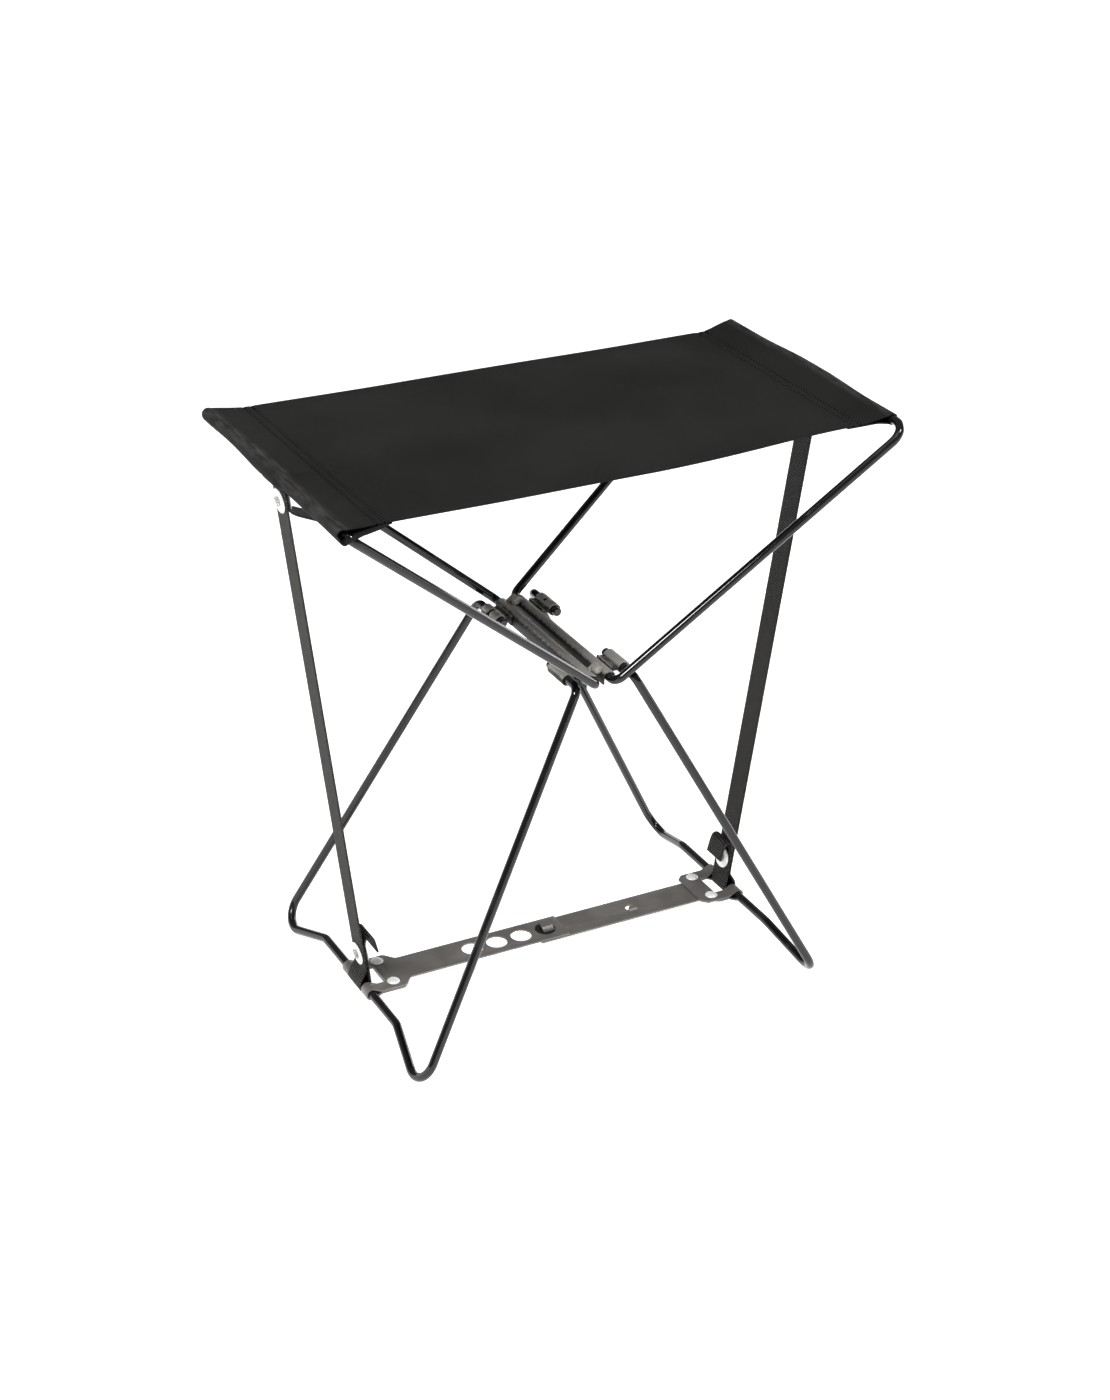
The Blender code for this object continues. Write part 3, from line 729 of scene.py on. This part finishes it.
def woven_cloth(crest, seam_lines):
    """Near-black plain weave. crest is the arc length from the seat's middle to a rail's top, and
    seam_lines are those to the two rows of stitches beside it."""
    made = Finish("woven_cloth", (0.012, 0.0118, 0.0112), 0.72, Specular_IOR_Level=0.07)
    u, v = made.uv()
    from_middle = made.math("ABSOLUTE", u)
    to_seams = [made.math("ABSOLUTE", made.math("SUBTRACT", from_middle, line)) for line in seam_lines]
    seams = made.math("MINIMUM", *to_seams)
    across = made.math("ABSOLUTE", made.math("SINE", made.math("MULTIPLY", u, pi / WEAVE_PITCH)))
    along = made.math("ABSOLUTE", made.math("SINE", made.math("MULTIPLY", v, pi / WEAVE_PITCH)))
    checker = made.node("ShaderNodeTexChecker", Vector=made.place.outputs["UV"], Scale=1 / WEAVE_PITCH)
    weave = made.node("ShaderNodeMix", {"data_type": "FLOAT"})
    made.feed(checker.outputs["Fac"], weave.inputs[MIX_SHARE])
    for index, value in zip(MIX_FLOATS, (across, along)):
        made.feed(value, weave.inputs[index])
    from_crest = made.math("ABSOLUTE", made.math("SUBTRACT", from_middle, crest))
    streaks = made.noise(60, 4, 0.6, "UV", stretch=(6, 1, 1))
    worn = made.math("MULTIPLY", made.span(from_crest, 0.0075, 0.0005), made.span(streaks, 0.30, 0.68))
    cloud = made.noise(9, 3, 0.5, "UV")
    fleck = made.noise(420, 2, 0.7, "UV")
    base = made.mix(made.span(cloud, 0.35, 0.65), (0.0098, 0.0096, 0.0091), (0.0145, 0.0142, 0.0135))
    flecked = made.mix(made.span(fleck, 0.62, 0.80, 0, 0.45), base, (0.030, 0.029, 0.028))
    rubbed = made.mix(made.math("MULTIPLY", worn, 0.75), flecked, (0.052, 0.050, 0.048))
    # Painted shade in the seam grooves: the seam lines get a near-black colour and almost no
    # reflection.
    outside_seam_shade = made.span(seams, 0.0003, 0.0008)
    made.colour(made.mix(outside_seam_shade, (0.0008, 0.0008, 0.0008), rubbed))
    made.feed(made.math("MULTIPLY", outside_seam_shade, 0.07), made.shader.inputs["Specular IOR Level"])
    made.roughness(made.span(worn, 0, 1, 0.74, 0.56))
    made.bump(weave.outputs[0], 0.00010, 0.55)
    made.bump(made.noise(38, 3, 0.5, "UV"), 0.0004, 0.35)
    return made.material


def ribbed_webbing():
    """Black webbing: ribs across the band with a slant from yarn to yarn, and painted shade in the
    valleys between them.
    """
    made = Finish("ribbed_webbing", (0.022, 0.021, 0.020), 0.66, Specular_IOR_Level=0.12)
    u, v = made.uv()
    slant = made.math("ADD", u, made.math("MULTIPLY", v, 0.12))
    ribs = made.math("ABSOLUTE", made.math("SINE", made.math("MULTIPLY", slant, pi / RIB_PITCH)))
    yarns = made.math("ABSOLUTE", made.math("SINE", made.math("MULTIPLY", v, pi / YARN_PITCH)))
    height = made.math("MULTIPLY", ribs, made.math("ADD", made.math("MULTIPLY", yarns, 0.5), 0.5))
    fuzz = made.noise(700, 2, 0.6, "UV")
    # Painted shade: the valleys between the ribs are darkened nearly to black, and the rib tops keep
    # the mottled tone.
    out_of_valley_shade = made.span(height, 0.15, 0.95)
    shade = made.mix(made.span(fuzz, 0.38, 0.62), (0.018, 0.017, 0.016), (0.066, 0.062, 0.058))
    made.colour(made.mix(out_of_valley_shade, (0.003, 0.0029, 0.0028), shade))
    made.roughness(made.span(fuzz, 0.3, 0.7, 0.52, 0.70))
    made.bump(height, 0.00030, 0.8)
    return made.material


def sewing_thread():
    made = Finish("sewing_thread", (0.007, 0.007, 0.007), 0.55)
    twist = made.noise(2500, 2)
    made.colour(made.mix(twist, (0.004, 0.004, 0.004), (0.014, 0.014, 0.013)))
    made.bump(twist, 0.00005, 0.5)
    return made.material


# ---------------------------------------------------------------- wires


def seat_wire(side_name, finish):
    side = SIDES[side_name]
    corners = [
        Vector((SEAT_HUB.x, SEAT_WIRE_END_Y, SEAT_HUB.z)),
        Vector((SEAT_HUB.x, SEAT_HUB_Y, SEAT_HUB.z)),
        Vector((SEAT_RAIL.x, SEAT_CORNER_Y, SEAT_RAIL.z)),
        Vector((SEAT_RAIL.x, 0, SEAT_RAIL.z)),
    ]
    path = rounded([mirrored(c, side) for c in corners], (HUB_BEND_R, SEAT_BEND_R))
    piece = tube(f"seat_wire_{side_name}", whole_loop(path), WIRE_R, finish)
    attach(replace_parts(piece, f"seat_frame_{side_name}"), f"{side_name}_seat")


def leg_wire(side_name, finish):
    side = SIDES[side_name]
    corners = [
        Vector((LEG_PIVOT.x, LEG_WIRE_END_Y, LEG_PIVOT.z)),
        Vector((LEG_PIVOT.x, LEG_HUB_Y, LEG_PIVOT.z)),
        Vector((FOOT_X, FOOT_Y, FOOT_Z)),
        Vector((BOTTOM_RAIL.x, BOTTOM_RAIL_CORNER_Y, BOTTOM_RAIL.z)),
        Vector((BOTTOM_RAIL.x, 0, BOTTOM_RAIL.z)),
    ]
    path = rounded([mirrored(c, side) for c in corners], (HUB_BEND_R, FOOT_BEND_R, RAIL_BEND_R))
    piece = tube(f"leg_wire_{side_name}", whole_loop(path), WIRE_R, finish)
    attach(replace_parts(piece, f"leg_frame_{side_name}"), f"{side_name}_leg")


# ---------------------------------------------------------------- seat


def sleeve_angle(radius):
    """How far past the top of the rail the cloth leaves it, towards the seam."""
    return asin(radius / (SEAT_RAIL.x - SEAM_X - SEAM_WIDTH))


def half_section(bulge, droop):
    """(x, z) points of the right half, from the middle over the sleeve to the hem underneath."""
    radius = SLEEVE_R + bulge
    lean = sleeve_angle(radius)
    seam_end = SEAM_X + SEAM_WIDTH
    points = []
    for step in range(PANEL_STEPS):
        x = SEAM_X * sin(pi / 2 * step / PANEL_STEPS)
        points.append((x, -SEAT_SAG * (1 - (x / SEAM_X) ** 2)))
    rise = Vector((SEAT_RAIL.x - seam_end + radius * cos(pi / 2 + lean), radius * sin(pi / 2 + lean)))
    for step in range(SLOPE_STEPS):
        share = step / SLOPE_STEPS
        x = SEAM_X + (seam_end - SEAM_X + rise.x) * share
        lift = smooth_step(x, SEAM_X + SEAM_WIDTH * RISE_START, seam_end + rise.x * RISE_END)
        points.append((x, rise.y * lift))
    start, end = pi / 2 + lean, -pi / 2 - lean
    for step in range(WRAP_STEPS + 1):
        angle = start + (end - start) * step / WRAP_STEPS
        low = max(-sin(angle), 0)
        points.append((SEAT_RAIL.x + radius * cos(angle), radius * sin(angle) - droop * low * low))
    last_x, last_z = points[-1]
    for step in range(1, UNDER_STEPS + 1):
        share = step / UNDER_STEPS
        x = last_x + (HEM_END_X - last_x) * share
        ease = smooth_step(share, HEM_EASE_START, HEM_EASE_END)
        hang = droop * HEM_DROOP * sin(pi * min(share * HEM_DROOP_REACH, 1))
        points.append((x, last_z + (HEM_REST - last_z) * ease - hang))
    return points


def rear_edge(x):
    """Where the cloth ends behind, at a distance across the stool."""
    return REAR_Y + REAR_RIGHT_FLARE * smooth_step(x, SEAM_X, SEAT_RAIL.x)


def front_edge(x):
    """Where the cloth ends in front."""
    skew = FRONT_SKEW * smooth_step(x, FRONT_SKEW_START, SEAM_X)
    return -EDGE_Y + skew - FRONT_LEFT_FLARE * smooth_step(-x, SEAM_X, SEAT_RAIL.x)


def cloth_point(x, z, under, share):
    """Places a section point at its share of the way from the front edge to the rear one."""
    front, rear = front_edge(x), rear_edge(x)
    if under:
        front -= UNDER_REACH * smooth_step(-x, SEAM_X - SEAM_WIDTH, SEAM_X + SEAM_WIDTH)
    y = front + (rear - front) * share
    seams = (SEAM_X, SEAM_X + SEAM_WIDTH)
    dent = sum(exp(-(((abs(x) - seam) / SEAM_DENT_WIDTH) ** 2)) for seam in seams)
    waves = sin(y * RIPPLE_ALONG + RIPPLE_PHASE) * sin(abs(x) * RIPPLE_ACROSS)
    ripple = RIPPLE * waves * hump(abs(x) - RIPPLE_MIDDLE, RIPPLE_MIDDLE)
    lift = 0 if under else ripple - SEAM_DENT * dent
    return Vector((x, y, SEAT_RAIL.z + z + lift))


def in_strap_slit(point):
    """Whether a point of the cloth is in the slit under a rail that the strap comes out of."""
    below = point.z < SEAT_RAIL.z + SLIT_FROM
    return below and abs(point.y) < SLIT_HALF and abs(point.x) > SEAT_RAIL.x - SLIT_REACH


def seat_cloth(finish):
    """One woven sheet with a sleeve sewn round each seat rail, and its cut length."""
    rows, uvs = [], []
    for row in range(CLOTH_ROWS + 1):
        share = row / CLOTH_ROWS
        y = -EDGE_Y + (EDGE_Y + REAR_Y) * share
        halves = {}
        for side_name in SIDES:
            ends = STRAP_BULGE_FRONT if y < 0 else STRAP_BULGE_REAR
            fade = smooth_step(abs(y), STRAP_BULGE_FLAT, ends[side_name])
            droop = SLEEVE_DROOP[side_name] * smooth_step(abs(y), SLEEVE_DROOP_START, EDGE_Y)
            halves[side_name] = half_section(STRAP_BULGE * (1 - fade), droop)
        first_under = PANEL_STEPS + SLOPE_STEPS + WRAP_STEPS // 2
        line = [(-x, z, n > first_under) for n, (x, z) in enumerate(halves["left"])][:0:-1]
        line += [(x, z, n > first_under) for n, (x, z) in enumerate(halves["right"])]
        points = [cloth_point(x, z, under, share) for x, z, under in line]
        lengths = [0.0]
        for (x0, z0, _), (x1, z1, _) in zip(line, line[1:]):
            lengths.append(lengths[-1] + hypot(x1 - x0, z1 - z0))
        middle = lengths[len(lengths) // 2]
        rows.append(points)
        uvs.append([(length - middle, point.y) for length, point in zip(lengths, points)])
    builder = bmesh.new()
    skin(builder, rows, uvs=uvs, gap=in_strap_slit)
    loose = [vertex for vertex in builder.verts if not vertex.link_faces]
    bmesh.ops.delete(builder, geom=loose, context="VERTS")
    piece = finished("seat_cloth", builder, finish, CLOTH_SHARP_ANGLE)
    thick = piece.modifiers.new("Thickness", "SOLIDIFY")
    thick.thickness = CLOTH
    thick.offset = 0
    applied(piece)
    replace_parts(piece, "seat_fabric")
    length = max(u for u, _ in uvs[0]) * 2
    return piece, length


def crest_length():
    """Arc length from the seat's middle to the top of a rail."""
    right = half_section(0, 0)
    total = 0.0
    crest = PANEL_STEPS + SLOPE_STEPS + CREST_STEPS
    for (x0, z0), (x1, z1) in zip(right, right[1:crest]):
        total += hypot(x1 - x0, z1 - z0)
    return total


def seam_height(section, seam):
    nearest = min(section[: PANEL_STEPS + SLOPE_STEPS], key=lambda point: abs(point[0] - seam))
    return nearest[1]


def stitch_rows(middle):
    """Rings of points round one stitch, which thins out at both ends."""
    rows = []
    for step in range(STITCH_STEPS + 1):
        share = step / STITCH_STEPS
        swell = STITCH_R * max(sin(pi * share) ** 0.5, STITCH_END)
        centre = middle + Y_AXIS * (STITCH * (share - 0.5))
        angles = [2 * pi * corner / STITCH_SIDES for corner in range(STITCH_SIDES)]
        rows.append([centre + Vector((swell * cos(a), 0, swell * sin(a))) for a in angles])
    return rows


def seam_stitches(finish):
    """Short thread stitches in four rows, two beside each sleeve."""
    builder = bmesh.new()
    section = half_section(0, 0)
    for side in SIDES.values():
        for seam in (SEAM_X, SEAM_X + SEAM_WIDTH):
            front, rear = front_edge(side * seam) + STITCH, rear_edge(seam) - STITCH
            z = SEAT_RAIL.z + seam_height(section, seam) + CLOTH / 2 - SEAM_DENT * STITCH_SINK
            for number in range(int((rear - front) / STITCH_PITCH)):
                middle = Vector((side * seam, front + number * STITCH_PITCH, z))
                skin(builder, stitch_rows(middle), round_rows=True, caps=True)
    return finished("seam_stitches", builder, finish)


# ---------------------------------------------------------------- hub and link


def notch_cutter():
    """The curved slot lanced in the crown of the left bar."""
    crown = Vector((-SEAT_HUB.x, NOTCH_Y, SEAT_HUB.z + BAR_R))
    rows = []
    for step in range(NOTCH_STEPS + 1):
        share = step / NOTCH_STEPS
        arch = sin(pi * share)
        centre = crown + Vector((NOTCH_LENGTH * (share - 0.5) + NOTCH_SHIFT, NOTCH_ARCH * arch, 0))
        half = NOTCH_HALF_WIDTH * (NOTCH_END + (1 - NOTCH_END) * arch)
        corners = ((-half, NOTCH_LOW), (half, NOTCH_LOW), (half, NOTCH_HIGH), (-half, NOTCH_HIGH))
        rows.append([centre + Vector((0, y, z)) for y, z in corners])
    builder = bmesh.new()
    skin(builder, rows, round_rows=True, caps=True)
    return finished("notch_cutter", builder, None)


def clip_cutter(side):
    """The gap between the two bands of a clip."""
    builder = bmesh.new()
    middle = (side * (LEG_PIVOT.x + CLIP_GAP_OUT), CLIP_GAP_Y, LEG_PIVOT.z + CLIP_GAP_UP)
    size = Matrix.Diagonal((*CLIP_GAP_SIZE, 1))
    bmesh.ops.create_cube(builder, size=1, matrix=Matrix.Translation(middle) @ size)
    return finished("clip_cutter", builder, None)


def hub(steel):
    """The two channels, the clips on them, and the pins between them."""
    for side_name, side in SIDES.items():
        cutters = [notch_cutter()] if side < 0 else []
        bar = edged(f"hub_bar_{side_name}", f"channel_{side_name}", steel, cutters)
        stands_for(bar, f"hub_bar_{side_name}")
        for end_name in ENDS:
            node_name = f"leg_clip_{end_name}_{side_name}"
            cutters = [clip_cutter(side)] if end_name == "rear" else []
            clip = edged(node_name, f"clip_{end_name}_{side_name}", steel, cutters)
            stands_for(clip, node_name)
    for end_name, end in ENDS.items():
        low = EAR_THICKNESS + 2 * GAP
        high = low - GAP
        profile = underneath(dome(low, PIN_HEAD, PIN_HEAD_R)) + [(-low, PIN_R), (high, PIN_R)]
        profile += dome(high, PIN_HEAD, PIN_HEAD_R)
        place = Vector((0, end * PIN_Y, JOINTS["seat_hinge"].z))
        pin = turned(f"pin_{end_name}", place, Y_AXIS, profile, steel)
        stands_for(pin, f"hub_pin_{end_name}")


def box_middle(node_name):
    low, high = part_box(node_name)
    return (low + high) / 2


def hook(steel, black):
    """A short tongue through the left strip's hole, on a dark disc that fills the hole as painted
    shadow.
    """
    place = box_middle("link_hook")
    place.z = BOTTOM_RAIL.z
    hole = Vector((place.x - HOOK_HOLE, 0, place.z))
    low, middle, high = -HOOK_SHELF, SHADOW_DISC_MIDDLE - HOOK_SHELF, SHADOW_DISC_TOP - HOOK_SHELF
    profile = underneath(dome(LINK_FACE, BACK_HEAD, BACK_HEAD_R))
    profile += [(-LINK_FACE, SHANK_R), (low, SHANK_R), (low, SHADOW_DISC_EDGE_R)]
    profile += [(middle, SHADOW_DISC_R), (high, SHADOW_DISC_EDGE_R), (high, SHADOW_DISC_BORE)]
    # The black disc is painted shadow: it stands in for the shade down in the hole, over the lit strip
    # beneath.
    rivet_and_shadow_disc = turned("hook_rivet_and_shadow_disc", hole, Z_AXIS, profile, black)
    stands_for(rivet_and_shadow_disc, "link_hook")
    line = [flat(back, HOOK_ROOT_Z) for back in HOOK_ROOT]
    rise = [flat(back, up) for back, up in zip(HOOK_RISE, (HOOK_ROOT_Z, HOOK_TOP_Z, HOOK_TOP_Z))]
    lip = [flat(back, up) for back, up in zip(HOOK_LIP, (HOOK_TOP_Z, HOOK_TOP_Z, HOOK_LIP_Z))]
    line += bezier(line[-1], *rise, HOOK_RISE_STEPS)
    line += bezier(line[-1], *lip, HOOK_LIP_STEPS)
    tongue("hook_tongue", hole + X_AXIS * HOOK_STUD, line, HOOK_HALF_WIDTH, steel)


def hole_tab(steel):
    """The lanced tab that arches over the front half of the right strip's round hole."""
    points = [flat(back, up) for back, up in TAB_CURVE]
    line = [points[0]] + bezier(*points, TAB_STEPS)
    tongue("hole_tab", Vector((TAB_X, TAB_Y, BOTTOM_RAIL.z)), line, TAB_HALF_WIDTH, steel)


def tongue(name, place, line, half, finish):
    """A narrow bent tongue along (back, up) points, which narrows to a round end."""
    along = tangents(line)
    rows = []
    for index, (point, way) in enumerate(zip(line, along)):
        share = index / (len(line) - 1)
        width = half * max(1 - max(share - TONGUE_TAPER_START, 0) ** 2 * TONGUE_TAPER, TONGUE_END)
        up = Vector((-way.y, way.x, 0)) * (LINK_SHEET / 2)
        corners = [(-width, up), (width, up), (width, -up), (-width, -up)]
        rows.append([place + Vector((x, point.x + n.x, point.y + n.y)) for x, n in corners])
    builder = bmesh.new()
    skin(builder, rows, round_rows=True, caps=True)
    round_edges(builder, [e for e in builder.edges if e.calc_face_angle(0) > TONGUE_EDGE_ANGLE])
    piece = finished(name, builder, finish)
    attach(piece, "right_link")


def link(steel, zinc, black):
    """The two strips between the bottom rails, their rivets, and the hook."""
    for side_name in SIDES:
        strip = edged(f"link_strip_{side_name}", f"strip_{side_name}", steel)
        stands_for(strip, f"link_strip_{side_name}")
        for end_name in ENDS:
            node_name = f"link_rivet_{end_name}_{side_name}"
            place = box_middle(node_name)
            place.z = BOTTOM_RAIL.z
            profile = underneath(dome(LINK_FACE, BACK_HEAD, BACK_HEAD_R))
            profile += [(-LINK_FACE, SHANK_R), (LINK_FACE, SHANK_R)]
            profile += dome(LINK_FACE, LINK_HEAD, LINK_HEAD_R)
            rivet = turned(f"rivet_{end_name}_{side_name}", place, Z_AXIS, profile, zinc)
            stands_for(rivet, node_name)
    hook(steel, black)
    hole_tab(steel)


# ---------------------------------------------------------------- straps


def strap_frame(side):
    """The level of the seat rail, the way down the strap, the way out, and the length."""
    top, bottom = mirrored(SEAT_RAIL, side), mirrored(BOTTOM_RAIL, side)
    down = (bottom - top).normalized()
    outward = Vector((side, 0, 0))
    outward = (outward - down * outward.dot(down)).normalized()
    return top, down, outward, (bottom - top).length


def strap_joint(level, side_name, zinc, split):
    """The split rivet and the two washers that clamp a strap to its turned-back tail."""
    side = SIDES[side_name]
    top, down, outward, length = strap_frame(side)
    along = RIVET_TOP if level == "top" else length - RIVET_BOTTOM
    place = top + down * along - outward * STRAP_INSET
    outer = WEBBING / 2 + GAP
    inner = 3 * WEBBING / 2 + 2 * GAP
    for name, start in (("outer", outer), ("inner", -inner - WASHER_THICKNESS)):
        ring = washer(f"washer_{name}_{level}_{side_name}", place, outward, start, zinc)
        stands_for(ring, f"strap_washer_{name}_{level}_{side_name}")
    face, back = outer + WASHER_THICKNESS, inner + WASHER_THICKNESS + GAP
    profile = underneath(dome(back, STRAP_HEAD, BACK_HEAD_R)) + [(-back, SHANK_R), (face, SHANK_R)]
    profile += [(face + height, radius, depth) for height, radius, depth in SPLIT_END]
    rivet = turned(f"split_rivet_{level}_{side_name}", place, outward, profile, split)
    stands_for(rivet, f"strap_rivet_{level}_{side_name}")


def rail_turn(length, at_bottom):
    """(out, down) points of the half turn round a rail, with the way from and to the joint."""
    turn = WIRE_R + LAYER_GAP + WEBBING / 2
    outer, inner = -STRAP_INSET, -STRAP_INSET - LAYER
    way_in = (flat(outer, TURN_MEET), flat(outer, TURN_EASE_IN), flat(turn, TURN_PULL_IN))
    line = bezier(*way_in, flat(turn, 0), WAY_IN_STEPS)
    for step in range(1, TURN_STEPS + 1):
        angle = pi * step / TURN_STEPS
        line.append(flat(turn * cos(angle), -turn * sin(angle)))
    way_out = (flat(-turn, TURN_PULL_OUT), flat(inner, TURN_EASE_OUT), flat(inner, TURN_MEET))
    line += bezier(line[-1], *way_out, WAY_OUT_STEPS)
    if at_bottom:
        return [flat(point.x, length - point.y) for point in line]
    return line[::-1]


def strap_line(length, top_tail, bottom_tail):
    """(out, down) points: tail, round the seat rail, down, round the bottom rail, tail."""
    line = top_tail + rail_turn(length, False)
    start, end = STRAIGHT_START, length - STRAIGHT_START
    for step in range(STRAIGHT_STEPS + 1):
        line.append(flat(-STRAP_INSET, start + (end - start) * step / STRAIGHT_STEPS))
    return line + rail_turn(length, True) + bottom_tail


def webbing_piece(name, side, line, finish):
    """A flat band along (out, down) points, with rounded selvedges."""
    top, down, outward, _ = strap_frame(side)
    path = [top + outward * p.x + down * p.y for p in line]
    along = tangents(path)
    half, thin = STRAP_HALF_WIDTH, WEBBING / 2
    edge = thin * SELVEDGE
    turn, rise = edge * SELVEDGE_OUT, thin * SELVEDGE_UP
    profile = [(-half + turn, rise), (-half + edge, thin)]
    profile += [(half * quarter / 4, thin) for quarter in (-3, -1, 1, 3)]
    profile += [(half - edge, thin), (half - turn, rise), (half, 0)]
    profile += [(-y, -n) for y, n in profile[:-1]] + [(-half, 0)]
    rows, uvs, distance = [], [], 0.0
    for index, (point, direction) in enumerate(zip(path, along)):
        normal = Y_AXIS.cross(direction)
        if index:
            distance += (point - path[index - 1]).length
        rows.append([point + Y_AXIS * y + normal * n for y, n in profile])
        uvs.append([(distance, y) for y, _ in profile])
    builder = bmesh.new()
    skin(builder, rows, round_rows=True, caps=True, uvs=uvs)
    return finished(name, builder, finish, WEBBING_SHARP_ANGLE), distance


def strap(side_name, finish):
    """A webbing band round both rails, with a free tail at each joint."""
    side = SIDES[side_name]
    top, down, _, length = strap_frame(side)
    upper = flat(-STRAP_INSET - LAYER, RIVET_TOP)
    lower = flat(-STRAP_INSET - LAYER, length - RIVET_BOTTOM)
    tail = [upper + flat(*pair) for pair in TOP_TAIL]
    rise = [lower + flat(*pair) for pair in BOTTOM_TAIL_RISE]
    fall = [lower + flat(*pair) for pair in BOTTOM_TAIL_FALL]
    top_tail = [tail[0]] + bezier(*tail, TOP_TAIL_STEPS) + [upper]
    bottom_tail = [lower, rise[0]] + bezier(*rise, BOTTOM_TAIL_STEPS)
    bottom_tail += bezier(*fall, BOTTOM_TAIL_STEPS)
    line = strap_line(length, top_tail, bottom_tail)
    piece, total = webbing_piece(f"webbing_{side_name}", side, line, finish)
    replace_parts(piece, f"strap_{side_name}")
    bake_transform(piece)


# ---------------------------------------------------------------- camera and studio


def camera():
    azimuth, elevation, roll = CAMERA_AZIMUTH, CAMERA_ELEVATION, CAMERA_ROLL
    back = Vector((sin(azimuth) * cos(elevation), -cos(azimuth) * cos(elevation), sin(elevation)))
    right = Z_AXIS.cross(back).normalized()
    up = back.cross(right)
    rolled_right = right * cos(roll) + up * sin(roll)
    rolled_up = up * cos(roll) - right * sin(roll)
    turn = Matrix((rolled_right, rolled_up, back)).transposed().to_4x4()
    data = bpy.data.cameras.new("camera")
    data.lens = CAMERA_LENS
    data.sensor_width = CAMERA_SENSOR
    data.clip_start = CAMERA_CLIP
    obj = bpy.data.objects.new("camera", data)
    bpy.context.scene.collection.objects.link(obj)
    obj.matrix_world = Matrix.Translation(CAMERA_TARGET + back * CAMERA_DISTANCE) @ turn
    bpy.context.scene.camera = obj


def area_light(name, place, target, size, power):
    data = bpy.data.lights.new(name, "AREA")
    data.shape = "RECTANGLE"
    data.size, data.size_y = size
    data.energy = power
    obj = bpy.data.objects.new(name, data)
    bpy.context.scene.collection.objects.link(obj)
    obj.location = place
    obj.rotation_euler = (Vector(target) - Vector(place)).to_track_quat("-Z", "Y").to_euler()


def pale_paper(name, glow):
    made = Finish(name, (0.94, 0.94, 0.94), 0.9, Emission_Strength=glow)
    made.shader.inputs["Emission Color"].default_value = (1, 1, 1, 1)
    made.colour(made.mix(made.noise(3, 2), (0.93, 0.93, 0.93), (0.95, 0.95, 0.95)))
    return made.material


def studio():
    scene = bpy.context.scene
    scene.view_settings.view_transform = "Standard"
    world = bpy.data.worlds.new("studio")
    scene.world = world
    world.use_nodes = True
    background = world.node_tree.nodes["Background"]
    background.inputs["Color"].default_value = (1, 1, 1, 1)
    background.inputs["Strength"].default_value = WORLD_LIGHT
    for light in LIGHTS:
        area_light(*light)
    builder = bmesh.new()
    bmesh.ops.create_grid(builder, x_segments=1, y_segments=1, size=FLOOR_SIZE)
    floor = finished("floor", builder, pale_paper("pale_floor", FLOOR_GLOW))
    floor.location.z = CAD_BOUNDS[0].z - GAP
    builder = bmesh.new()
    bmesh.ops.create_cone(
        builder,
        segments=WALL_SEGMENTS,
        radius1=WALL_DISTANCE,
        radius2=WALL_DISTANCE,
        depth=2 * WALL_HEIGHT,
    )
    caps = [face for face in builder.faces if abs(face.normal.z) > 0.5]
    bmesh.ops.delete(builder, geom=caps, context="FACES")
    wall = finished("wall", builder, pale_paper("pale_wall", WALL_GLOW))


# ---------------------------------------------------------------- assembly


def build():
    camera()
    studio()
    black = enamel()
    cloth = woven_cloth(crest_length(), (SEAM_X, SEAM_X + SEAM_WIDTH))
    webbing = ribbed_webbing()
    thread = sewing_thread()
    zinc = plated("bright_zinc", (0.74, 0.73, 0.71), (0.92, 0.92, 0.91))
    split = plated("split_zinc", (0.20, 0.195, 0.19), (0.52, 0.51, 0.50))
    for side_name in SIDES:
        seat_wire(side_name, black)
        leg_wire(side_name, black)
        strap(side_name, webbing)
        for level in ("top", "bottom"):
            strap_joint(level, side_name, zinc, split)
    hub(pressed_steel())
    link(link_steel(), zinc, black)
    seat, cut_length = seat_cloth(cloth)
    stitches = seam_stitches(thread)
    for piece in (seat, stitches):
        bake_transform(piece)


build()
